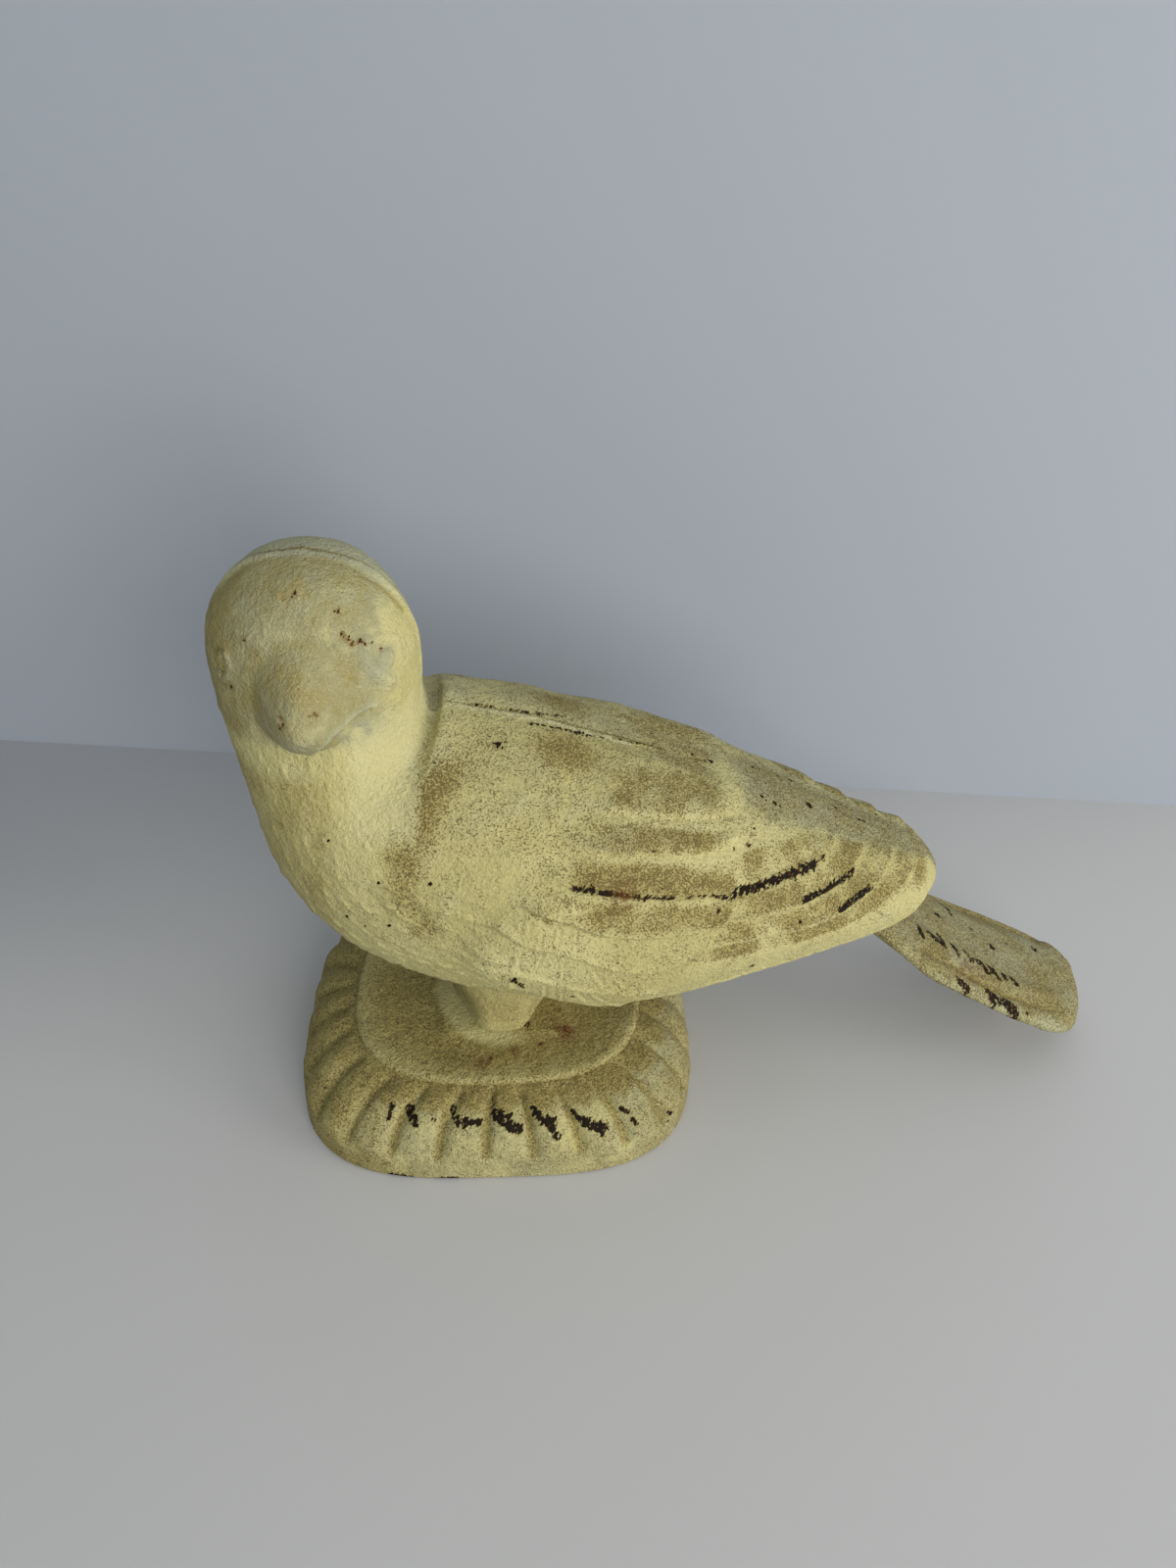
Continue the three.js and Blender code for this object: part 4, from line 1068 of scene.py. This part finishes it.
def halfWear(p, n, side):
    # marks of one half: the head, the clean neck below it and the end of the back look different
    x, y, z = p.T
    upward = smooth(0.25, 0.95, n[:, 2])
    head = smooth(102, 112, z) * smooth(-8, -16, x)
    clean = smooth(-30, -24, x) * smooth(-12, -16, x) * smooth(90, 97, z) * smooth(118, 112, z)
    overBack = smooth(48, 62, x) * smooth(0.6, 0.2, np.abs(y) / (30 - 0.35 * np.clip(x - 48, 0, 60)))
    mottled = 0.5 + 0.5 * latticeNoise(p, 14, 21)
    patchy = latticeNoise(p, 5.5, 23) + 0.7 * latticeNoise(p, 2.3, 24)
    trough = wingFields(x, z)[1] * (1 - overBack)
    soilAndShade = 0.1 + 0.18 * mottled + 0.14 * smooth(78, 104, z) * (1 - head) + 0.09 * patchy + 0.42 * overBack
    # painted shade on the front end of the breast, the side that faces away from the light
    soilAndShade += 0.3 * smooth(-27, -35, x) * (1 - head)
    soilAndShade = np.maximum(soilAndShade, halfSoilAndShade(x, y, z, patchy, trough))
    stipple = soilAndShade * (1 - 0.85 * head) * (0.25 + 0.75 * smooth(-30, -12, x)) * (1 - 0.9 * clean)
    # dust in clouds on the face and the brow, faces that point up a little darker and greyer, and soil with
    # painted shade on the shaded left side of the snout
    cloudy = 0.2 * latticeNoise(p, 5, 25) + 0.3 * latticeNoise(p, 1.8, 26)
    dusty = smooth(107, 115, z) * smooth(-15, -24, x) * (0.98 + cloudy)
    brow = roundBump(x + 33, (z - 126) * 0.8, 10)
    soilAndShade = np.maximum(soilAndShade * (1 - head), 0.4 * dusty + 0.15 * head + 0.1 * brow) + 0.08 * upward
    s = face["snout"]
    # soil and painted shade in the hollow on the snout's shaded left side
    hollow = roundBump(x - s["x"] + 8.5, (z - s["z"] - 3) / 1.6, 3.4) * head * (side < 0)
    soilAndShade = np.maximum(soilAndShade, 0.8 * hollow)
    soilAndShade *= 1 - 0.85 * clean
    # painted shade on the head's left side, away from the light, less a painted highlight that lightens the
    # lower snout
    soilAndShade += 0.25 * head * smooth(-44, -52, x) - 0.35 * head * roundBump(x + 36, z - 115.5, 3.2)
    grey = (0.25 * upward + 0.8 * overBack) * (1 - head) + (0.9 + 0.1 * brow) * dusty + 0.25 * head * upward
    # bare spots and strokes, of which the far side has its own few
    chip = spotted(wear["spots"], x, y, z)
    rust = 0 * x
    if side > 0:
        soilAndShade *= 1 - 0.6 * smooth(104, 130, z) * (x < -5)
        grey = np.maximum(grey, 0.5 + 0.5 * smooth(98, 132, z) * smooth(4, -16, x) + 0.2 * (mottled - 0.5))
        chip = np.maximum(chip, spotted(wear["spots"][:12], x - 6, -y, z + 3) * 0.9)
    else:
        marks = spotted(wear["faceSpots"], x, z) * (z > 108)
        onSide = np.maximum(wornAlong(wear["chips"], x, z), spotted(wear["flatSpots"], x, z))
        chip = np.maximum.reduce([chip, onSide, 0.8 * marks])
        rust = roundBump(x - 27.5, z - 82, 2.6) + 0.7 * marks
    # grey in the upper troughs, from soil and painted shade
    grey = np.maximum(grey, trough * 0.75 * smooth(86, 90, z))
    chip = np.maximum(chip, wornAlong(wear["seam"], x, y) * (z > 90) * (x > -8) * 0.86)
    # soil in the gap between the halves, rubbed paint on the lip beside it and on the neck, and a painted
    # highlight where the nape meets the back
    gap = smooth(1.0, 0.2, np.abs(y)) * smooth(46, 36, x) * (z > 90) * np.maximum(smooth(-11, -5, x), head)
    lip = bump(np.abs(y) - 1.3, 1.0) * (side < 0)
    pale = lip * (head * smooth(128, 138, z) + smooth(44, 30, x) * (z > 98) * (1 - head)) + 0.5 * clean
    # painted highlight that lightens the shaded valley where the nape meets the back
    pale += 0.6 * roundBump(x + 11.5, z - 106.5, 4.5) * (1 - head)
    if side < 0:
        # rubbed folds and lids of the eyes, and a painted highlight on the beak's edge with painted shade
        # under it
        front = head * (y < -8)
        for centre, fold, lid, width in face["eyes"]:
            pale += 0.5 * width * front * bumpAlong(fold, x, z, width)
            pale += 0.2 * front * bumpAlong(lid, x, z, 0.6)
            grey += 0.5 * front * roundBump(x - centre[0], (z - centre[1]) * 0.8, 2.2)
        beak, below = distanceTo(face["mouth"], x, z)
        pale += 0.7 * front * bump(beak - 1, 0.7) * (below < 0) * smooth(-36, -30, x)
        soilAndShade = np.maximum(soilAndShade, 0.75 * front * bump(beak + 0.5 * (below < 0), 0.8) * smooth(-36, -31, x))
        # soil and painted shade in the groove inside the crown's bead
        soilAndShade = np.maximum(soilAndShade, 0.75 * head * bump(np.abs(y) - 3.6, 1.3) * (z > 132))
    soilAndShade = np.maximum(soilAndShade, 0.5 * smooth(40, 33, z) * (np.abs(x - 2) < 18))
    soilAndShade = np.clip(soilAndShade, 0, 1) * (1 - 0.7 * np.clip(pale, 0, 1))
    return {"chip": chip, "soilAndShade": np.maximum(soilAndShade, 0.9 * gap), "grey": grey, "rust": rust, "pale": pale,
            "stipple": np.maximum(stipple, 0.9 * gap)}


def tailWear(p, n, side):
    # the same look above and below, so neither the normals nor the side matter
    x, y = p[:, 0], p[:, 1]
    strokes = [(0.62, path) for path in tail["strokes"]]
    chip = np.maximum(wornAlong(strokes, x, y), wornAlong(wear["tailPatches"], x, y))
    chip = np.maximum(chip, spotted(wear["tailSpots"], x, y))
    soilAndShade = 0.7 + 0.25 * latticeNoise(p, 9, 31) - 0.2 * smooth(-14, -18, y)
    inGroove = 0.95 * bumpAlong(tail["groove"], x, y, 2.2)
    corner = 0.9 * roundBump(x - 151, y - 16, 4.5)
    soilAndShade = np.maximum.reduce([soilAndShade, inGroove, corner, 0.8 * smooth(12, 17, y)])
    return {"chip": chip, "soilAndShade": soilAndShade, "grey": 0.8 + 0.2 * smooth(-14, -6, y), "stipple": soilAndShade * 0.9,
            "rust": 0.5 * roundBump(x - 118, y + 11, 5), "pale": bump(y + 17, 1.3) * 0.5}


def placeAround(x, y):
    # share of the way around the base, found again from the direction of a point
    steps = 720
    power = base["squareness"] / 2

    def direction(px, py):
        return np.arctan2(np.sign(py) * np.abs(py / base["width"]) ** power,
                          np.sign(px) * np.abs(px / base["length"]) ** power) % (2 * math.pi)

    own = direction(*footOutline(evenTurns(steps)).T)
    order = np.argsort(own)
    return np.interp(direction(x, y), own[order], order / steps)


def baseWear(p, n, side):
    # soiled grooves, a soiled plate darker inwards with painted shade under the bird, painted shade on the
    # left and right ends, a painted highlight along the plate's rim, worn paint on the flutes at the front,
    # and a wiped place by the stem
    x, y, z = p.T
    b = base
    shoulder = b["height"] - b["proud"]
    edge = b["plateWidth"] / 2 - superRadius(x, y)
    onPlate = (edge > 0.3) & (z > shoulder - 1)
    chip = wornAlong(wear["base"], x, z) * (y < -20)
    chip = np.maximum(chip, smooth(2.6, 0.8, z) * smooth(0.1, 0.45, latticeNoise(p, 6, 41)))
    # painted shade on the base's left end, away from the light, and on its right end under the bird
    soilAndShade = 0.4 + 0.42 * smooth(-12, -42, x) + 0.18 * smooth(26, 42, x) + 0.15 * latticeNoise(p, 10, 43)
    soilAndShade = np.maximum(soilAndShade, 0.95 * bump(z - shoulder + 0.6, 2.0))
    groove = np.abs(np.cos(math.pi * (placeAround(x, y) * b["flutes"] + b["shift"]))) ** 8 * smooth(6, 8, z)
    soilAndShade = np.maximum(soilAndShade, 0.9 * groove)
    # the plate is soiled, and darker inwards with painted shade under the bird
    soilAndShade = np.where(onPlate, 0.6 + 0.24 * smooth(0.5, 9, edge) + 0.12 * latticeNoise(p, 13, 47), soilAndShade)
    rust = sum(roundBump(x - rx, y - ry, r) for rx, ry, r in wear["plateRust"]) * onPlate
    dark = roundBump(x - 16.9, y + 16, 2.4) + spotted(wear["plateSpots"], x, y)
    dark += sum(roundBump(x - rx, y - ry, 0.75 * r) for rx, ry, r in wear["plateRust"][:4])
    chip = np.maximum(chip, np.clip(dark, 0, 1) * 0.84 * onPlate)
    stemSide = np.hypot((x - 1) / 12.8, y / 15) - 1
    wiped = smooth(0.42, 0.22, stemSide) * smooth(4, -4, x + 0.3 * y) * onPlate
    soilAndShade *= 1 - 0.7 * wiped
    # greyer towards the right end, as painted shade under the bird
    grey = 0.5 * (1 - 0.7 * onPlate) + 0.3 * smooth(24, 42, x)
    # the pale band along the plate's rim is a painted highlight
    return {"chip": chip, "soilAndShade": soilAndShade, "grey": grey, "rust": rust, "stipple": soilAndShade * (1 - wiped) * 0.6,
            "pale": bump(edge - 0.8, 0.9) * onPlate * 0.15}


def markWear(obj, fields, side):
    p = vertexRows(obj.data, "co").astype(float) * 1000 - toFrame
    n = vertexRows(obj.data, "normal").astype(float)
    for name, values in fields(p, n, side).items():
        storeMark(obj.data, name, np.clip(values, 0, 1))


# Materials

class Shader(Nodes):
    # the nodes of a new material, with patterns in mm on the object's own coordinates
    def __init__(self, name):
        self.material = bpy.data.materials.new(name)
        self.material.use_nodes = True
        super().__init__(self.material.node_tree)
        self.surface = self.tree.nodes["Principled BSDF"]
        self.place = self.node("ShaderNodeTexCoord")["Object"]

    def mark(self, name):
        return self.node("ShaderNodeAttribute", attribute_name=name)["Fac"]

    def noise(self, size, detail, rough, shift, stretch=(1, 1, 1), turn=0.0):
        # noise with features of this size, turned about the sideways axis
        if turn:
            stretch = tuple(1 / v for v in stretch)
        moved = {"Vector": self.place, "Location": (shift, shift * 0.7, -shift), "Rotation": (0, turn, 0),
                 "Scale": stretch}
        place = self.node("ShaderNodeMapping", moved, vector_type="TEXTURE" if turn else "POINT")[0]
        sizes = {"Vector": place, "Scale": 500 / size, "Detail": detail, "Roughness": rough}
        return self.node("ShaderNodeTexNoise", sizes)["Fac"]

    def band(self, value, low, high, to=1.0):
        # 0 below low and the given value above high, smoothly
        limits = {"Value": value, "From Min": low, "From Max": high, "To Max": to}
        return self.node("ShaderNodeMapRange", limits, interpolation_type="SMOOTHSTEP")["Result"]

    def mix(self, share, a, b):
        return self.node("ShaderNodeMix", {0: share, 6: a, 7: b}, data_type="RGBA")[2]

    def bumps(self, height, distance, strength, under=None):
        sizes = {"Distance": distance, "Strength": strength, "Height": height, "Normal": under}
        return self.node("ShaderNodeBump", sizes)[0]


paintLook = {
    "cream": (0.51, 0.46, 0.205, 1), "deep": (0.445, 0.395, 0.16, 1), "pale": (0.60, 0.56, 0.31, 1),
    "grey": (0.33, 0.325, 0.20, 1), "wash": (0.28, 0.215, 0.05, 1), "speck": (0.115, 0.08, 0.022, 1),
    "iron": (0.017, 0.0115, 0.0075, 1), "rust": (0.14, 0.05, 0.013, 1),
    "rough": 0.7, "bareRough": -0.1, "specular": 0.22, "bareDull": 0.17,
    # size in mm, detail, roughness and shift of the five noises, from the widest to the finest
    "noises": ((16, 3, 0.6, 0.0), (3.5, 3, 0.6, 0.31), (0.8, 2, 0.6, 0.53), (0.42, 2, 0.6, 0.09),
               (0.19, 1, 0.6, 0.17)),
    # the same for the edges of chips, with their stretch and turn
    "ragged": (0.5, 2, 0.65, 0.77, (1.7, 1, 0.55), 0.6),
    "pitCell": 3.1, "skinHeight": 0.00105, "chipHeight": 0.00018,
}


def paintMaterial():
    look = paintLook
    s = Shader("aged_cream_paint")
    soilAndShade, grey, chip, stipple, rust = (s.mark(k) for k in ("soilAndShade", "grey", "chip", "stipple", "rust"))
    wide, mid, fine, grit, finer = (s.noise(*layer) for layer in look["noises"])
    # the paint itself, darker and paler in places, then paler still where rubbed paint and painted highlights
    # lie
    color = s.mix(s.band(wide, 0.38, 0.64), look["cream"], look["deep"])
    color = s.mix(s.band(mid, 0.5, 0.75, 0.35), color, look["pale"])
    color = s.mix(s.times(s.mark("pale"), 0.7), color, look["pale"])
    # dust, soil and painted shade in soft clouds
    cloud = s.stirred(s.add(mid, s.times(wide, 0.6)), grey, 0.6)
    color = s.mix(s.times(grey, s.band(cloud, 0.55, 0.95)), color, look["grey"])
    color = s.mix(s.band(s.stirred(soilAndShade, mid, 0.7), 0.2, 0.95, 0.8), color, look["wash"])
    # dark specks that crowd where the soil and painted shade are thick, and grains between them that stay
    # pale
    crowd = s.stirred(stipple, mid, 0.6)
    threshold = s.less(0.62, s.times(crowd, 0.2))
    specks = s.band(s.stirred(finer, fine, 0.35), threshold, s.add(threshold, 0.1), 0.78)
    specks = s.times(specks, s.band(crowd, -0.05, 0.3))
    color = s.mix(specks, color, look["speck"])
    color = s.mix(s.band(finer, 0.48, 0.26, 0.3), color, look["pale"])
    # a pit in a few of the cells that the skin is divided into
    cells = s.node("ShaderNodeTexVoronoi", {"Vector": s.place, "Scale": 1000 / look["pitCell"]})
    tint = s.node("ShaderNodeSeparateColor", {0: cells["Color"]})[0]
    rare = s.times(s.band(tint, 0.84, 1.0), 0.11)
    pits = s.times(s.math("LESS_THAN", cells["Distance"], rare), s.band(stipple, 0.1, 0.3))
    color = s.mix(s.times(pits, 0.85), color, look["iron"])
    # chips down to the iron, with ragged edges and a soiled border
    ragged = s.noise(*look["ragged"])
    worn = s.stirred(chip, ragged, 2.1)
    bare = s.times(s.band(worn, 0.72, 0.82), s.band(chip, 0.02, 0.12))
    halo = s.times(s.band(worn, 0.3, 0.75, 0.45), s.band(chip, 0.1, 0.4))
    color = s.mix(halo, color, look["wash"])
    color = s.mix(s.times(rust, s.band(fine, 0.35, 0.6, 0.85)), color, look["rust"])
    reddish = s.add(s.band(fine, 0.56, 0.74, 0.5), s.times(rust, 0.6))
    color = s.mix(bare, color, s.mix(reddish, look["iron"], look["rust"]))
    height = s.add(s.add(s.times(fine, 0.55), s.times(grit, 0.55)), s.times(finer, 0.3))
    height = s.less(height, s.times(s.add(specks, pits), 0.2))
    skin = s.bumps(height, look["skinHeight"], 0.9)
    s.fill(s.surface, {
        "Base Color": color,
        "Roughness": s.add(look["rough"], s.times(bare, look["bareRough"])),
        "Specular IOR Level": s.less(look["specular"], s.times(bare, look["bareDull"])),
        "Normal": s.bumps(s.less(1.0, bare), look["chipHeight"], 0.9, skin),
    })
    return s.material


steelLook = {
    "bright": (0.30, 0.285, 0.26, 1), "dark": (0.16, 0.14, 0.12, 1), "rust": (0.14, 0.06, 0.02, 1),
    "metallic": 0.85, "rough": 0.32, "roughRange": 0.35, "skinHeight": 0.00008,
}


def steelMaterial():
    look = steelLook
    s = Shader("dull_fastener_steel")
    mid, fine = s.noise(2.4, 3, 0.6, 0.0), s.noise(0.4, 2, 0.6, 0.4)
    color = s.mix(s.band(mid, 0.35, 0.7), look["bright"], look["dark"])
    color = s.mix(s.band(fine, 0.6, 0.72, 0.7), color, look["rust"])
    s.fill(s.surface, {
        "Base Color": color,
        "Metallic": look["metallic"],
        "Roughness": s.add(look["rough"], s.times(mid, look["roughRange"])),
        "Normal": s.bumps(s.add(mid, fine), look["skinHeight"], 0.7),
    })
    return s.material


def finished(obj, node, material, sharp):
    # keeps the piece within the model's box, shades it smooth with sharp edges, gives it its material, hangs
    # it on the root and hides the model's part that it stands in for
    inside = np.clip(vertexRows(obj.data, "co"), np.array(cadBox[0]), np.array(cadBox[1]))
    obj.data.vertices.foreach_set("co", inside.astype(np.float32).ravel())
    obj.data.shade_smooth()
    obj.data.set_sharp_from_angle(angle=math.radians(sharp))
    obj.data.materials.clear()
    obj.data.materials.append(material)
    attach(obj, "root")
    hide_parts(node)


print("mixing the paint")
paint = paintMaterial()
steel = steelMaterial()

print("casting the halves")
leftHalf = halfObject("left_half", -1)
rightHalf = halfObject("right_half", 1)

print("casting the tail and the base")
blade = tailBlade()
tidyMesh(blade)
hull = baseObject(paint)

print("turning the fasteners")
fasteners = [
    (screwObject(), "cross_screw"), (boltObject(), "base_bolt"),
    (washerObject(), "bolt_washer"), (nutObject(), "bolt_nut"),
]

print("wearing the paint")
castings = [
    (leftHalf, "left_half_casting", halfWear, -1), (rightHalf, "right_half_casting", halfWear, 1),
    (blade, "tail", tailWear, 0), (hull, "base_casting", baseWear, 0),
]
for obj, node, fields, side in castings:
    markWear(obj, fields, side)
    finished(obj, node, paint, 55)
for obj, node in fasteners:
    tidyMesh(obj)
    finished(obj, node, steel, 30)

# Camera at the photo's place and angle

print("setting the camera, the table and the light")
# focal length in pixels of a picture this wide, angles in degrees, place and distance in mm
view = {
    "focal": 1150, "pictureWidth": 1200, "elevation": 38.0, "around": 4.0, "roll": 2.0,
    "aim": (21.5, 0, 86), "distance": 254,
}
elevation, around, roll = (math.radians(view[k]) for k in ("elevation", "around", "roll"))
back = Vector((-math.sin(around) * math.cos(elevation), -math.cos(around) * math.cos(elevation),
               math.sin(elevation)))
right = (-back).cross(Vector((0, 0, 1))).normalized()
up = right.cross(-back)
right, up = right * math.cos(roll) + up * math.sin(roll), up * math.cos(roll) - right * math.sin(roll)
camera = placed("camera", bpy.data.cameras.new("camera"))
camera.data.sensor_fit = "HORIZONTAL"
camera.data.sensor_width = 36
camera.data.lens = view["focal"] / view["pictureWidth"] * 36
camera.data.clip_start = 0.01
place = (Vector(view["aim"]) + back * view["distance"] + Vector(toFrame)) / 1000
camera.matrix_world = Matrix.Translation(place) @ Matrix((right, up, back)).transposed().to_4x4()
bpy.context.scene.camera = camera
bpy.context.scene.view_settings.view_transform = "Standard"

# Table, wall and light, in metres

stageLook = {
    "wall": 0.114, "slant": 0.1047, "reach": 3, "floor": (0.52, 0.515, 0.50, 1),
    # far, farDepth and farTurn darken the table towards the wall as painted shade
    "far": (0.34, 0.345, 0.355, 1), "farDepth": 0.18, "farTurn": 0.2, "backdrop": (0.355, 0.385, 0.425, 1),
}
# place, size, power and colour
lamps = {
    "window": ((0.45, -1.14, 0.46), 0.8, 9.5, (1.0, 0.985, 0.96)),
    "side_window": ((1.1, -0.5, 0.4), 0.8, 7.8, (1.0, 0.985, 0.96)),
    "ceiling": ((-0.1, -0.3, 1.3), 1.2, 3.0, (0.95, 0.97, 1.0)),
}
sky = {"color": (0.87, 0.935, 1.0, 1), "strength": 0.34}


def flatStage(name, corners, color, far=None):
    # one flat sheet; if a far colour is given, it is darker far away, towards the wall, as painted shade
    mesh = bpy.data.meshes.new(name)
    mesh.from_pydata(corners, [], [(0, 1, 2, 3)])
    s = Shader(name)
    if far:
        x, y, z = s.node("ShaderNodeSeparateXYZ", {0: s.place})
        depth = s.less(y, s.times(x, stageLook["farTurn"]))
        color = s.mix(s.band(depth, 0.0, stageLook["farDepth"]), color, far)
    s.fill(s.surface, {"Base Color": color, "Roughness": 0.8})
    # clear from behind, so that the object shows from every side
    backfacing = s.node("ShaderNodeNewGeometry")["Backfacing"]
    clear = s.node("ShaderNodeBsdfTransparent")[0]
    sheet = s.node("ShaderNodeMixShader", {0: backfacing, 1: s.surface.outputs[0], 2: clear})[0]
    s.fill(s.tree.nodes["Material Output"], {"Surface": sheet})
    mesh.materials.append(s.material)
    placed(name, mesh)


reach = stageLook["reach"]
wallLeft, wallRight = (stageLook["wall"] + k * reach * stageLook["slant"] for k in (1, -1))
table = [(-reach, -reach, 0), (reach, -reach, 0), (reach, wallRight, 0), (-reach, wallLeft, 0)]
wall = [(-reach, wallLeft, 0), (reach, wallRight, 0), (reach, wallRight, reach), (-reach, wallLeft, reach)]
flatStage("table_top", table, stageLook["floor"], stageLook["far"])
flatStage("back_wall", wall, stageLook["backdrop"])

for name, (at, size, power, color) in lamps.items():
    light = bpy.data.lights.new(name, "AREA")
    light.shape = "DISK"
    light.size = size
    light.energy = power
    light.color = color
    obj = placed(name, light)
    obj.location = at
    obj.rotation_euler = (Vector((0, 0, 0.06)) - Vector(at)).to_track_quat("-Z", "Y").to_euler()
world = bpy.context.scene.world or bpy.data.worlds.new("world")
bpy.context.scene.world = world
world.use_nodes = True
background = world.node_tree.nodes["Background"]
background.inputs[0].default_value = sky["color"]
background.inputs[1].default_value = sky["strength"]
